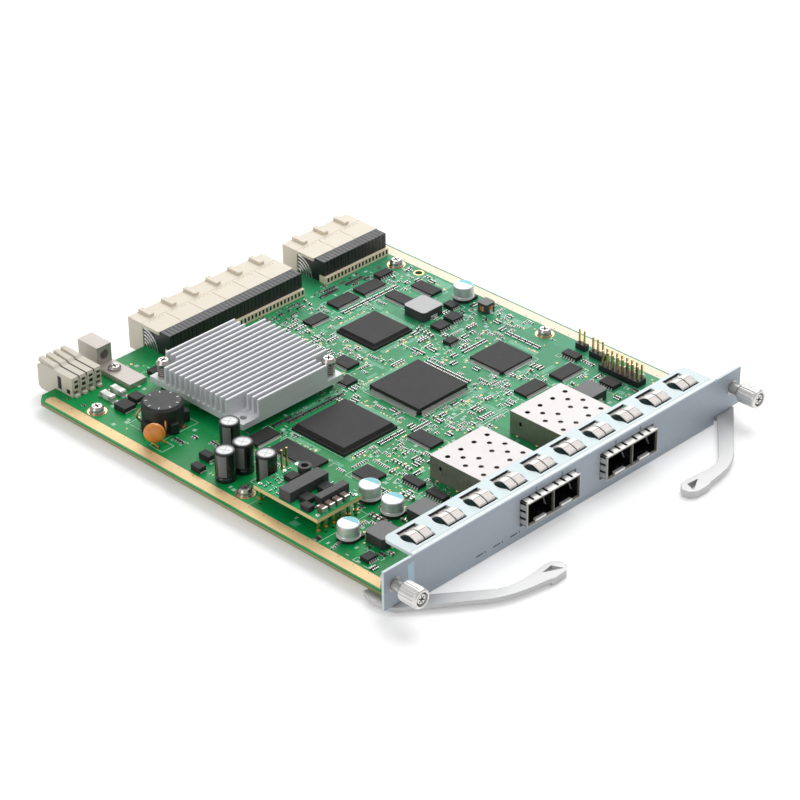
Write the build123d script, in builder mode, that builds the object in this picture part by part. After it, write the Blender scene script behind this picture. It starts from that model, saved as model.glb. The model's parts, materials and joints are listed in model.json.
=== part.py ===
import os
from math import cos, radians, sin

from build123d import *

os.makedirs("parts", exist_ok=True)

# Millimetres. X runs along the front panel, Y from the panel to the backplane connectors, Z up.
# The origin is at the middle of the whole card's box, on the surface it lies on.
# Every position below is given as x from the card's middle and y from the panel's front face.
reach_front = 29.0
reach_back = 206.3
front_y = -(reach_back - reach_front) / 2

panel_length = 194.0
panel_height = 19.4
sheet = 1.2
ear_length = 15.0
ear_bottom = 3.4
flange_depth = 16.0
flange_corner = 3.0

ear_overhang = 5.3
board_width = panel_length - 2 * ear_overhang
board_front = 1.5
board_back = 195.7
board_thickness = 2.0
board_top = 5.9
board_corner = 3.2
screw_hole_radius = 1.6

cage_width = 28.3
cage_length = 48.9
cage_front = -3.0
cage_height = 9.7
cage_wall = 0.4
cage_centres = (-12.8, 30.6)
opening_margin = 0.85
vent_rows = 5
vent_front = 22.15
vent_pitch = 4.53
vent_step = 3.53
gasket_thickness = 0.25
gasket_fingers = (2.6, 2.6, 2.6, 4.6, 2.6, 2.6, 2.6)

clip_count = 10
clip_pitch = 16.0
clip_y = 7.4
clip_width = 8.3
clip_slit = 0.6
clip_window = (9.6, 10.6)
clip_window_bow = 4.7

wafer_pitch = 2.0
wafer_width = 1.8
module_pitch = 12.0
wide_left = -35.5
wide_modules = 6
narrow_left = 49.2
narrow_modules = 3
wafer_front = 180.4
wafer_top = 15.9
cover_front = 186.2
cover_thickness = 1.4
block_front = board_back + 0.3
block_back = block_front + 7.2
block_bottom = 1.9
comb_front = wafer_front - 1.3
comb_back = wafer_front + 3.0

sink_size = 53.0
sink_x = -29.5
sink_y = 142.5
sink_base_bottom = 9.1
sink_base_thickness = 2.5
sink_top = 18.9
sink_screw_inset = 22.6
fin_count = 16
fin_thickness = 1.1

lever_pivot_x = board_width / 2 - 3.4
lever_pivot_y = 6.5
lever_top = 3.05
lever_thickness = 1.95
lever_tip_bottom = 0.15
lever_hole_radius = 1.85
lever_running_clearance = 0.08
left_lever_turn = 2.6

thumb_x = panel_length / 2 - 5.0
thumb_z = 12.3
thumb_head_radius = 4.0
thumb_head_length = 8.6
thumb_reach = 13.6
thumb_shank_radius = 1.5
thumb_skirt_radius = 3.3
thumb_skirt_depth = 5.2
thumb_tail = 6.4
ferrule_radius = 2.95
ferrule_reach = 4.0
screw_running_clearance = 0.07
ring_thickness = 0.6
ring_groove_radius = 1.15
ring_running_clearance = 0.05
ring_side_gap = 0.1
ring_y = 3.3
knurl_count = 24
knurl_depth = 0.35

board_bottom = board_top - board_thickness
half = panel_length / 2
board_half = board_width / 2
cage_top = board_top + 0.1 + cage_height


def level(z, x=0.0, y=0.0):
    return Plane(origin=(x, front_y + y, z))


def upright(y, x=0.0, z=0.0):
    return Plane(origin=(x, front_y + y, z), x_dir=(1, 0, 0), z_dir=(0, -1, 0))


def sideways(x, y=0.0, z=0.0):
    return Plane(origin=(x, front_y + y, z), x_dir=(0, 1, 0), z_dir=(1, 0, 0))


def save(piece, label):
    piece.part.label = label
    export_step(piece.part, "parts/" + label + ".step")


def blocks(rows, bottom, top):
    """Upright blocks, each given as centre x, centre y, size x and size y."""
    with BuildPart() as piece:
        with BuildSketch(level(bottom)):
            for x, y, size_x, size_y in rows:
                with Locations((x, y)):
                    Rectangle(size_x, size_y)
        extrude(amount=top - bottom)
    return piece


def rods(points, radius, bottom, top):
    """Upright round rods."""
    with BuildPart() as piece:
        with BuildSketch(level(bottom)):
            for x, y in points:
                with Locations((x, y)):
                    Circle(radius)
        extrude(amount=top - bottom)
    return piece


def turned(places, profile):
    """The same turned piece at several places; the profile is a list of radius and height pairs."""
    with BuildPart() as piece:
        for x, y in places:
            plane = Plane(origin=(x, front_y + y, 0), x_dir=(1, 0, 0), z_dir=(0, -1, 0))
            with BuildSketch(plane):
                with BuildLine():
                    Polyline(*profile, close=True)
                make_face()
            revolve(axis=Axis((x, front_y + y, 0), (0, 0, 1)))
    return piece


# Places on the board
board_screws_at = [
    (-board_half + 10.2, 171.0), (-board_half + 10.0, 87.2), (board_half - 10.0, 171.0), (board_half - 10.4, 87.0),
]
spare_hole_at = (board_half - 8.8, 159.0)
sink_screws_at = [
    (sink_x - sink_screw_inset, sink_y + sink_screw_inset),
    (sink_x + sink_screw_inset, sink_y - sink_screw_inset),
]
sink_open_hole_at = (sink_x - sink_screw_inset, sink_y - sink_screw_inset)
bracket_screws_at = [(-72.0, 6.4), (72.0, 6.4)]
pivots_at = [(-lever_pivot_x, lever_pivot_y), (lever_pivot_x, lever_pivot_y)]
guide_screw_at = (-57.9, 188.0)
pivot_rivet_radius = 1.6
cage_pins_y = (12.0, 22.0, 32.0, 42.0)
varistor_legs_at = [(-83.2, 133.8), (-78.8, 133.8)]

# Front panel: a bent sheet with a flange along its top edge
with BuildPart() as front_panel:
    with BuildSketch(upright(sheet)):
        with BuildLine():
            Polyline(
                (-half, ear_bottom),
                (-half + ear_length, ear_bottom),
                (-half + ear_length, 0),
                (half - ear_length, 0),
                (half - ear_length, ear_bottom),
                (half, ear_bottom),
                (half, panel_height),
                (-half, panel_height),
                close=True,
            )
        make_face()
        for x in cage_centres:
            with Locations((x, board_top + 0.1 + cage_height / 2)):
                Rectangle(cage_width + 2 * opening_margin, cage_height + 2 * opening_margin, mode=Mode.SUBTRACT)
        for x in (-thumb_x, thumb_x):
            with Locations((x, thumb_z)):
                Circle(ferrule_radius - 0.3, mode=Mode.SUBTRACT)
        for x in (-half + ear_length - 0.6, half - ear_length + 0.6):
            with Locations((x, panel_height - 0.6)):
                Rectangle(1.0, 1.4, mode=Mode.SUBTRACT)
    extrude(amount=sheet)
    with BuildSketch(level(panel_height - sheet)):
        with Locations((0, sheet + (flange_depth - sheet) / 2 - 0.05)):
            Rectangle(panel_length - 2 * ear_length, flange_depth - sheet + 0.1)
        for i in range(clip_count):
            x = (i - (clip_count - 1) / 2) * clip_pitch
            with Locations((x, clip_y + 1.6)):
                Rectangle(*clip_window, mode=Mode.SUBTRACT)
            for flip in (-1, 1):
                with Locations((x + flip * 1.3, clip_y + 1.75)):
                    Circle(clip_window_bow, mode=Mode.SUBTRACT)
    extrude(amount=sheet)
    corners = front_panel.edges().filter_by(Axis.Z).sort_by(Axis.Y)[-2:]
    fillet(corners, radius=flange_corner)
    top_edge = front_panel.edges().filter_by(Axis.X).filter_by(
        lambda e: abs(e.center().Z - panel_height) < 0.01 and abs(e.center().Y - front_y) < 0.01 and e.length > 100
    )
    fillet(top_edge, radius=0.8)
save(front_panel, "front_panel")

# Angle brackets that tie the board to the panel
with BuildPart() as panel_brackets:
    for x, y in bracket_screws_at:
        with BuildSketch(sideways(x - 4.5)):
            with BuildLine():
                Polyline(
                    (sheet, board_top), (10.5, board_top), (10.5, board_top + 1.2), (sheet + 1.2, board_top + 1.2),
                    (sheet + 1.2, 14.0), (sheet, 14.0), close=True,
                )
            make_face()
        extrude(amount=9.0)
        with BuildSketch(level(board_top)):
            with Locations((x, y)):
                Circle(screw_hole_radius)
        extrude(amount=1.2, mode=Mode.SUBTRACT)
save(panel_brackets, "panel_brackets")
save(
    turned(bracket_screws_at, [(0, 2.6), (1.5, 2.6), (1.5, 7.1), (2.8, 7.1), (2.8, 8.2), (2.2, 8.8), (0, 8.8)]),
    "bracket_screws",
)

# Spring fingers in pairs: each is held under the flange behind its window and arches forward through it
clip_top = [
    (7.9, 18.2), (5.9, 18.2), (5.2, 19.0), (4.2, 20.0), (2.8, 20.75), (1.1, 21.1), (0.7, 21.05), (-2.1, 20.05),
    (-2.6, 19.75), (-2.85, 19.2), (-2.85, 18.4),
]
clip_underside = [
    (-2.6, 18.4), (-2.6, 19.1), (-2.4, 19.5), (-2.0, 19.75), (0.7, 20.72), (1.1, 20.78), (2.6, 20.48), (3.95, 19.78),
    (4.95, 18.8), (5.75, 17.9), (7.9, 17.9),
]
with BuildPart() as gasket_clips:
    for i in range(clip_count):
        x = (i - (clip_count - 1) / 2) * clip_pitch
        for finger_x in (x - clip_width / 2, x + clip_slit / 2):
            with BuildSketch(sideways(finger_x, clip_y)):
                with BuildLine():
                    Polyline(*clip_top, *clip_underside, close=True)
                make_face()
            extrude(amount=(clip_width - clip_slit) / 2)
save(gasket_clips, "gasket_clips")

# Transceiver cages, two ports side by side in each


def cage(centre_x):
    bottom = board_top + 0.1
    port = (cage_width - 3 * cage_wall) / 2
    with BuildPart() as piece:
        with BuildSketch(level(bottom)):
            with Locations((centre_x, cage_front + cage_length / 2)):
                Rectangle(cage_width, cage_length)
        extrude(amount=cage_height)
        for side in (-1, 1):
            with BuildSketch(upright(cage_length + cage_front - cage_wall)):
                with Locations((centre_x + side * (port + cage_wall) / 2, bottom + cage_height / 2)):
                    Rectangle(port, cage_height - 2 * cage_wall)
            extrude(amount=cage_length, mode=Mode.SUBTRACT)
            # the floor is open where the port's connector stands on the board
            with BuildSketch(level(bottom)):
                with Locations((centre_x + side * (port + cage_wall) / 2, 37.0)):
                    Rectangle(port - 1.0, 14.0)
            extrude(amount=cage_wall, mode=Mode.SUBTRACT)
        with BuildSketch(level(bottom + cage_height - cage_wall)):
            for row in range(vent_rows):
                columns = (-3, -1, 1, 3) if row % 2 == 0 else (-2, 2)
                for column in columns:
                    with Locations((centre_x + column * vent_step, vent_front + vent_pitch * row)):
                        Circle(1.0)
        extrude(amount=cage_wall, mode=Mode.SUBTRACT)
        with BuildSketch(sideways(centre_x - cage_width / 2)):
            with Locations((40.7, bottom + 5.6)):
                Circle(1.1)
        extrude(amount=cage_width, both=False, mode=Mode.SUBTRACT)
        # pins into the board
        with BuildSketch(level(board_top - 1.6)):
            for y in cage_pins_y:
                for x in (-cage_width / 2 + cage_wall / 2, cage_width / 2 - cage_wall / 2):
                    with Locations((centre_x + x, y)):
                        Rectangle(cage_wall, 1.0)
        extrude(amount=1.8)
    return piece


save(cage(cage_centres[0]), "sfp_cage_left")
save(cage(cage_centres[1]), "sfp_cage_right")

port_offset = (cage_width - cage_wall) / 4
port_centres = [centre + side * port_offset for centre in cage_centres for side in (-1, 1)]
with BuildPart() as sfp_connectors:
    for x in port_centres:
        with BuildSketch(sideways(x - 5.6)):
            with BuildLine():
                Polyline(
                    (36.0, board_top), (43.6, board_top), (43.6, board_top + 6.4), (33.0, board_top + 6.4),
                    (33.0, board_top + 4.6), (38.0, board_top + 4.6), (38.0, board_top + 3.4),
                    (33.0, board_top + 3.4), (33.0, board_top + 1.2), (36.0, board_top + 1.2), close=True,
                )
            make_face()
        extrude(amount=11.2)
save(sfp_connectors, "sfp_connectors")

# Spring collars between the cage mouths and the panel
with BuildPart() as cage_gaskets:
    for centre in cage_centres:
        middle = board_top + 0.1 + cage_height / 2
        with BuildSketch(upright(cage_front + 0.7)):
            with Locations((centre, middle)):
                Rectangle(cage_width + 2 * gasket_thickness, cage_height + 2 * gasket_thickness)
                Rectangle(cage_width, cage_height, mode=Mode.SUBTRACT)
        extrude(amount=0.7)
        finger_gap = (cage_width - sum(gasket_fingers)) / len(gasket_fingers)
        for i, finger_width in enumerate(gasket_fingers):
            x = centre - cage_width / 2 + sum(gasket_fingers[:i]) + (i + 0.5) * finger_gap
            for flip in (1, -1):
                edge = middle + flip * cage_height / 2
                with BuildSketch(sideways(x)):
                    with BuildLine():
                        Polyline(
                            (cage_front + 0.1, edge), (1.3, edge + flip * 0.45),
                            (1.3, edge + flip * (0.45 + gasket_thickness)),
                            (cage_front + 0.1, edge + flip * gasket_thickness), close=True,
                        )
                    make_face()
                extrude(amount=finger_width)
        for i in range(3):
            z = board_top + 0.7 + i * 3.1
            for flip in (1, -1):
                edge = centre + flip * cage_width / 2
                with BuildSketch(level(z)):
                    with BuildLine():
                        Polyline(
                            (edge, cage_front + 0.1), (edge + flip * 0.45, 1.3),
                            (edge + flip * (0.45 + gasket_thickness), 1.3),
                            (edge + flip * gasket_thickness, cage_front + 0.1), close=True,
                        )
                    make_face()
                extrude(amount=2.1)
save(cage_gaskets, "cage_gaskets")


# Backplane connectors: a moulded housing over the board's rear edge, upright contact wafers and a board-level comb
def connector_housing(left, modules):
    width = modules * module_pitch
    with BuildPart() as piece:
        with BuildSketch(sideways(left - 0.6)):
            with BuildLine():
                Polyline(
                    (cover_front, wafer_top - cover_thickness), (cover_front, wafer_top), (block_back, wafer_top),
                    (block_back, block_bottom), (block_front, block_bottom),
                    (block_front, wafer_top - cover_thickness), close=True,
                )
            make_face()
        extrude(amount=width + 1.2)
        with BuildSketch(level(wafer_top)):
            for i in range(modules):
                with Locations((left + (i + 0.5) * module_pitch, (block_front + block_back) / 2 + 0.8)):
                    Rectangle(2.2, block_back - block_front - 1.6)
        extrude(amount=1.3)
        with BuildSketch(upright(block_back)):
            for i in range(modules):
                with Locations((left + (i + 0.5) * module_pitch, (block_bottom + wafer_top) / 2)):
                    Rectangle(10.4, 11.0)
        extrude(amount=1.0, mode=Mode.SUBTRACT)
        with BuildSketch(level(wafer_top - 0.25)):
            for i in range(1, modules):
                with Locations((left + i * module_pitch, (cover_front + block_front) / 2)):
                    Rectangle(0.25, block_front - cover_front)
        extrude(amount=0.3, mode=Mode.SUBTRACT)
    return piece


def connector_wafers(left, modules):
    with BuildPart() as piece:
        for i in range(int(modules * module_pitch / wafer_pitch)):
            with BuildSketch(sideways(left + i * wafer_pitch + (wafer_pitch - wafer_width) / 2)):
                with BuildLine():
                    Polyline(
                        (wafer_front, 9.3), (wafer_front, wafer_top), (cover_front, wafer_top),
                        (cover_front, wafer_top - cover_thickness), (block_front, wafer_top - cover_thickness),
                        (block_front, board_top), (wafer_front + 3.1, board_top), (wafer_front + 3.1, 9.3),
                        close=True,
                    )
                make_face()
            extrude(amount=wafer_width)
    return piece


save(connector_housing(wide_left, wide_modules), "wide_connector_housing")
save(connector_wafers(wide_left, wide_modules), "wide_connector_wafers")
save(connector_housing(narrow_left, narrow_modules), "narrow_connector_housing")
save(connector_wafers(narrow_left, narrow_modules), "narrow_connector_wafers")

with BuildPart() as connector_combs:
    for left, modules in ((wide_left, wide_modules), (narrow_left, narrow_modules)):
        width = modules * module_pitch
        with BuildSketch(level(board_top)):
            with Locations((left + width / 2, (comb_front + comb_back) / 2)):
                Rectangle(width, comb_back - comb_front)
        extrude(amount=3.3)
        with BuildSketch(upright(comb_front)):
            for i in range(int(width / wafer_pitch)):
                with Locations((left + (i + 0.5) * wafer_pitch, board_top + 1.9)):
                    Rectangle(0.7, 1.7)
        extrude(amount=-1.2, mode=Mode.SUBTRACT)
save(connector_combs, "connector_combs")

with BuildPart() as connector_leads:
    for left in (wide_left, narrow_left):
        for i in range(5):
            radius = 2.2 + 1.55 * i
            with BuildSketch(sideways(left - 0.25)):
                with BuildLine():
                    turn = CenterArc((block_front, board_top), radius, 90, 90)
                    inner = CenterArc((block_front, board_top), radius - 0.6, 90, 90)
                    Line(turn @ 0, inner @ 0)
                    Line(turn @ 1, inner @ 1)
                make_face()
            extrude(amount=0.35)
save(connector_leads, "connector_leads")

# Power connector with four blade columns
power_left = -board_half + 10.1
power_width = 14.7
power_front = 185.3
power_back = reach_back
power_column = power_width / 4
with BuildPart() as power_connector_housing:
    with BuildSketch(sideways(power_left)):
        with BuildLine():
            Polyline(
                (power_front, board_top), (power_front, 14.2), (power_back - 2.0, 14.2), (power_back - 2.0, 12.6),
                (power_back, 12.6), (power_back, 3.4), (power_back - 1.6, 2.3), (board_back + 0.3, 2.3),
                (board_back + 0.3, board_top), close=True,
            )
        make_face()
    extrude(amount=power_width)
    with BuildSketch(level(13.0)):
        for i in range(1, 4):
            with Locations((power_left + i * power_column, (power_front + 197.0) / 2 - 0.5)):
                Rectangle(0.5, 197.0 - power_front + 1.0)
            with Locations((power_left + i * power_column, (197.0 + power_back) / 2)):
                Rectangle(1.7, power_back - 197.0 + 0.1)
    extrude(amount=2.0, mode=Mode.SUBTRACT)
    with BuildSketch(upright(power_front + 2.4)):
        for i in range(4):
            with Locations((power_left + (i + 0.5) * power_column, board_top + 2.0)):
                Rectangle(2.2, 2.2)
            with Locations((power_left + (i + 0.5) * power_column, board_top + 5.4)):
                Circle(0.55)
    extrude(amount=3.0, mode=Mode.SUBTRACT)
    with BuildSketch(sideways(power_left - 1.0)):
        with Locations((193.4, 9.6)):
            Rectangle(1.4, 5.6)
        with Locations((187.8, 7.6)):
            Rectangle(2.2, 2.0)
    extrude(amount=1.9, mode=Mode.SUBTRACT)
    with BuildSketch(upright(power_back - 5.0)):
        for i in range(4):
            with Locations((power_left + (i + 0.5) * power_column, 7.6)):
                Rectangle(1.6, 7.0)
    extrude(amount=-6.0, mode=Mode.SUBTRACT)
save(power_connector_housing, "power_connector_housing")

with BuildPart() as power_contacts:
    with BuildSketch(level(4.6)):
        for i in range(4):
            for dx in (-0.55, 0.55):
                with Locations((power_left + (i + 0.5) * power_column + dx, power_back - 3.0)):
                    Rectangle(0.3, 4.0)
    extrude(amount=6.0)
save(power_contacts, "power_contacts")

# Guide socket for the chassis pin beside the power connector
guide_x = -57.9
guide_z = 12.0
guide_radius = 2.1
guide_front = 193.8
guide_back = 205.4
with BuildPart() as guide_socket:
    with BuildSketch(level(board_top)):
        with Locations((guide_x, (174.0 + 197.5) / 2)):
            Rectangle(8.6, 197.5 - 174.0)
    extrude(amount=2.1)
    with BuildSketch(level(board_top + 2.0)):
        with Locations((guide_x, (guide_front + guide_back) / 2)):
            Rectangle(7.2, guide_back - guide_front)
    extrude(amount=16.0 - board_top - 2.0)
    with BuildSketch(upright(guide_back + 1.0)):
        with Locations((guide_x, guide_z)):
            Circle(guide_radius)
    extrude(amount=guide_back - guide_front + 2.0, mode=Mode.SUBTRACT)
    with BuildSketch(level(board_top)):
        with Locations(guide_screw_at):
            Circle(1.65)
    extrude(amount=2.1, mode=Mode.SUBTRACT)
save(guide_socket, "guide_socket")
save(
    turned([guide_screw_at], [(0, 2.4), (1.55, 2.4), (1.55, 8.0), (2.6, 8.0), (2.6, 8.7), (1.9, 9.4), (0, 9.4)]),
    "guide_socket_screw",
)

# Cooled chip, thermal pad, finned heat sink and its spring-loaded screws
save(blocks([(sink_x, sink_y, 35.0, 35.0)], board_top, 8.5), "cooled_chip")
save(blocks([(sink_x, sink_y, 33.0, 33.0)], 8.5, sink_base_bottom), "thermal_pad")
sink_base_top = sink_base_bottom + sink_base_thickness
with BuildPart() as heat_sink:
    with BuildSketch(level(sink_base_bottom)):
        with Locations((sink_x, sink_y)):
            Rectangle(sink_size, sink_size)
        for x, y in sink_screws_at + [sink_open_hole_at]:
            with Locations((x, y)):
                Circle(1.5, mode=Mode.SUBTRACT)
    extrude(amount=sink_base_thickness)
    with BuildSketch(level(sink_base_top - 0.1)):
        for i in range(fin_count):
            y = sink_y - sink_size / 2 + fin_thickness / 2 + i * (sink_size - fin_thickness) / (fin_count - 1)
            short = 2 * 8.4 if i < 3 or i >= fin_count - 3 else 0.0
            with Locations((sink_x, y)):
                Rectangle(sink_size - short, fin_thickness)
    extrude(amount=sink_top - sink_base_top + 0.1)
save(heat_sink, "heat_sink")
save(
    turned(
        sink_screws_at,
        [(0, 2.2), (1.25, 2.2), (1.25, 16.6), (2.9, 16.6), (2.9, 17.6), (2.0, 18.9), (0.5, 18.9), (0.5, 18.0), (0, 18.0)],
    ),
    "heat_sink_screws",
)
spring_turns = 5
spring_pitch = (16.6 - sink_base_top) / spring_turns
spring_profile = [(1.6, sink_base_top)]
for i in range(spring_turns):
    start = sink_base_top + i * spring_pitch
    spring_profile += [(2.2, start), (2.5, start + 0.3), (2.2, start + 0.6)]
    if i < spring_turns - 1:
        spring_profile += [(1.85, start + 0.7), (1.85, start + spring_pitch - 0.05)]
spring_profile += [(2.0, 16.6), (1.6, 16.6)]
save(turned(sink_screws_at, spring_profile), "heat_sink_springs")
save(
    turned(sink_screws_at, [(1.3, 2.4), (2.6, 2.4), (2.6, board_bottom), (1.3, board_bottom)]),
    "heat_sink_anchors",
)

# Power input parts at the rear left
choke_at = (-69.7, 146.0)
save(
    turned([choke_at], [(0, 6.3), (8.2, 6.3), (8.2, 15.2), (7.2, 16.2), (3.0, 16.2), (2.6, 15.7), (0, 15.7)]),
    "choke_case",
)
save(
    blocks(
        [(choke_at[0] + dx, choke_at[1] + dy, 2.4, 1.4) for dx, dy in ((-5.2, -7.4), (3.4, -8.0), (0.0, 8.0))],
        board_top, 6.3,
    ),
    "choke_leads",
)
with BuildPart() as disc_varistor:
    with BuildSketch(upright(135.0)):
        with Locations((-81.0, board_top + 6.2)):
            Circle(3.7)
    extrude(amount=2.4)
    fillet(disc_varistor.edges().filter_by(GeomType.CIRCLE), radius=0.8)
    with BuildSketch(level(board_top - 1.4)):
        with Locations(*varistor_legs_at):
            Rectangle(0.7, 0.7)
    extrude(amount=5.6)
save(disc_varistor, "disc_varistor")
electrolytics_at = [(-64.7, 113.7), (-71.1, 99.4), (-79.7, 99.8), (-70.6, 87.3)]
save(
    turned(
        electrolytics_at,
        [(0, board_top), (4.0, board_top), (4.0, 7.4), (3.75, 7.9), (4.0, 8.4), (4.0, 18.0), (3.6, 18.4), (3.2, 18.4),
         (3.2, 18.0), (0, 18.0)],
    ),
    "electrolytic_sleeves",
)
save(rods(electrolytics_at, 3.1, 18.0, 18.3), "electrolytic_tops")
save(blocks([(-72.3, 175.3, 2.6, 6.2), (-66.9, 175.6, 2.6, 6.2)], board_top, 8.1), "fuses")
save(
    blocks(
        [(-73.0, 164.4, 5.6, 6.4), (-65.8, 166.0, 4.6, 5.4), (-75.3, 115.0, 3.4, 5.4), (-83.0, 111.3, 3.2, 5.0)],
        board_top, 8.3,
    ),
    "power_diodes",
)

# Surface-mount aluminium capacitors
cans_at = [(-52.6, 51.6), (-53.7, 38.7), (-76.1, 38.8), (79.9, 130.5)]
save(blocks([(x, y, 8.8, 8.8) for x, y in cans_at], board_top, 7.2), "can_capacitor_bases")
save(
    turned(cans_at, [(0, 7.2), (4.2, 7.2), (4.2, 8.0), (4.0, 8.3), (4.2, 8.6), (4.2, 12.2), (3.9, 12.5), (0, 12.5)]),
    "can_capacitors",
)

# Power converter on its own small board
converter_x = -73.3
converter_y = 62.8
converter_bottom = 12.7
converter_top = 14.5
save(blocks([(converter_x, converter_y, 22.6, 33.4)], converter_bottom, converter_top), "converter_board")
converter_pins_at = [(converter_x - 9.4 + 3.76 * i, 47.6) for i in range(6)]
converter_pins_at += [(converter_x - 9.4 + 6.2 * i, 78.0) for i in range(4)]
save(blocks([(x, y, 0.9, 0.9) for x, y in converter_pins_at], board_top - 1.2, converter_bottom), "converter_pins")
with BuildPart() as converter_cores:
    with BuildSketch(level(converter_top)):
        with Locations((-74.4, 63.5)):
            Rectangle(19.4, 5.8)
    extrude(amount=4.3)
    with BuildSketch(level(converter_top)):
        with Locations((-71.0, 52.4)):
            Rectangle(14.2, 3.3)
    extrude(amount=3.8)
    with BuildSketch(level(converter_top)):
        with Locations((-66.2, 71.6)):
            Circle(2.6)
            Circle(1.4, mode=Mode.SUBTRACT)
    extrude(amount=3.4)
save(converter_cores, "converter_cores")
save(
    blocks(
        [(-78.6, 57.4, 4.4, 4.6), (-69.0, 58.0, 5.0, 3.6), (-72.4, 71.8, 4.6, 4.2), (-82.4, 53.4, 3.0, 4.4)],
        converter_top, 16.6,
    ),
    "converter_chips",
)
save(
    blocks([(-79.6 + 3.75 * i, 48.6, 2.3, 3.0) for i in range(4)], converter_top, 16.6),
    "converter_capacitors",
)

# Main board
with BuildPart() as main_board:
    with BuildSketch(level(board_bottom)):
        with Locations((0, (board_front + board_back) / 2)):
            Rectangle(board_width, board_back - board_front)
        with BuildLine():
            Polyline(
                (-board_width / 2 - 1, board_back - board_corner),
                (-board_width / 2 - 1, board_back + 1),
                (-board_width / 2 + board_corner, board_back + 1),
                (-board_width / 2 + board_corner, board_back),
                (-board_width / 2, board_back - board_corner),
                close=True,
            )
        make_face(mode=Mode.SUBTRACT)
        for x, y in board_screws_at + [spare_hole_at] + sink_screws_at + bracket_screws_at:
            with Locations((x, y)):
                Circle(screw_hole_radius, mode=Mode.SUBTRACT)
        for x, y in pivots_at + [guide_screw_at]:
            with Locations((x, y)):
                Circle(pivot_rivet_radius + 0.05, mode=Mode.SUBTRACT)
        for x, y in converter_pins_at + varistor_legs_at:
            with Locations((x, y)):
                Rectangle(1.1, 1.1, mode=Mode.SUBTRACT)
        for centre in cage_centres:
            for dx in (-cage_width / 2 + cage_wall / 2, cage_width / 2 - cage_wall / 2):
                for y in cage_pins_y:
                    with Locations((centre + dx, y)):
                        Rectangle(cage_wall + 0.3, 1.3, mode=Mode.SUBTRACT)
    extrude(amount=board_thickness)
save(main_board, "main_board")

# Chips
with BuildPart() as array_chips:
    for x, y, size, top in ((-25.0, 93.0, 28.4, 8.6), (35.3, 137.3, 21.6, 8.2)):
        with BuildSketch(level(board_top)):
            with Locations((x, y)):
                Rectangle(size, size)
        extrude(amount=1.0)
        with BuildSketch(level(board_top + 1.0)):
            with Locations((x, y)):
                Rectangle(size - 1.2, size - 1.2)
        extrude(amount=top - board_top - 1.0, taper=28)
save(array_chips, "array_chips")
with BuildPart() as flat_chips:
    for x, y, size, top in ((14.7, 92.5, 26.8, 9.0), (54.3, 85.7, 17.4, 7.5)):
        with BuildSketch(level(board_top + 0.3)):
            with Locations((x, y)):
                Rectangle(size, size)
        extrude(amount=top - board_top - 0.3)
save(flat_chips, "flat_chips")
memory_rows = [
    (59.4, 164.3, 12.6, 6.6, "y"), (43.9, 164.1, 12.3, 6.6, "y"), (25.3, 160.8, 10.0, 5.2, "y"),
    (74.7, 146.7, 6.0, 12.0, "x"), (61.3, 148.5, 6.0, 12.0, "x"), (63.9, 60.1, 12.4, 6.4, "y"),
    (45.3, 61.7, 12.4, 6.4, "y"), (-51.2, 110.6, 12.0, 7.0, "y"), (-50.4, 91.4, 9.0, 22.4, "x"),
    (-41.8, 62.8, 8.0, 10.0, "x"), (-9.7, 65.0, 7.0, 12.4, "x"), (9.6, 127.6, 6.4, 9.0, "x"), (0.0, 117.2, 6.0, 6.0, "x"),
]
save(blocks([(x, y, a, b) for x, y, a, b, side in memory_rows], board_top + 0.1, 7.1), "memory_chips")
small_rows = [
    (71.0, 168.0, 7.6, 3.9, "y"), (75.1, 66.8, 3.9, 7.4, "x"), (50.1, 109.1, 5.0, 4.0, "y"),
    (-34.2, 47.0, 3.9, 8.6, "x"), (-34.6, 34.6, 3.9, 8.6, "x"), (-46.8, 176.6, 5.4, 4.0, "y"),
    (69.3, 41.7, 5.3, 7.2, "x"), (71.2, 129.2, 4.0, 5.0, "y"), (64.6, 121.6, 6.0, 5.4, "y"),
    (56.0, 120.6, 6.0, 5.4, "y"), (-80.6, 24.0, 5.0, 4.0, "y"),
]
save(blocks([(x, y, a, b) for x, y, a, b, side in small_rows], board_top + 0.1, 7.6), "small_chips")
lead_rows = []
for x, y, a, b, side in memory_rows + small_rows:
    for flip in (-1, 1):
        if side == "y":
            lead_rows.append((x, y + flip * (b / 2 + 0.55), a - 0.8, 1.1))
        else:
            lead_rows.append((x + flip * (a / 2 + 0.55), y, 1.1, b - 0.8))
for x, y, size in ((14.7, 92.5, 26.8), (54.3, 85.7, 17.4)):
    for flip in (-1, 1):
        lead_rows.append((x, y + flip * (size / 2 + 0.65), size - 2.4, 1.3))
        lead_rows.append((x + flip * (size / 2 + 0.65), y, 1.3, size - 2.4))
save(blocks(lead_rows, board_top, board_top + 0.35), "chip_leads")

# Wound parts, headers
with BuildPart() as power_inductors:
    with BuildSketch(level(board_top)):
        for x, y in ((59.8, 133.8), (-47.5, 28.6), (-68.4, 28.8), (56.3, 40.9)):
            with Locations((x, y)):
                RectangleRounded(10.2, 10.2, 1.6)
        with Locations((79.0, 117.0)):
            Circle(2.7)
    extrude(amount=4.2)
save(power_inductors, "power_inductors")
header_pitch = 2.54
header_pins = [(82.6, 66.9 + header_pitch * i) for i in range(2)]
header_pins += [(81.4, 56.2 + header_pitch * i) for i in range(3)]
header_pins += [
    (75.9 + header_pitch * column, 33.6 + header_pitch * row) for column in range(2) for row in range(8)
]
tall_pins = [(-65.8, 84.2), (-63.26, 84.2)]
header_blocks = [
    (82.6, 66.9 + header_pitch / 2, 2.5, 5.0),
    (81.4, 56.2 + header_pitch, 2.5, 7.5),
    (75.9 + header_pitch / 2, 33.6 + header_pitch * 3.5, 5.0, 20.3),
]
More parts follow.
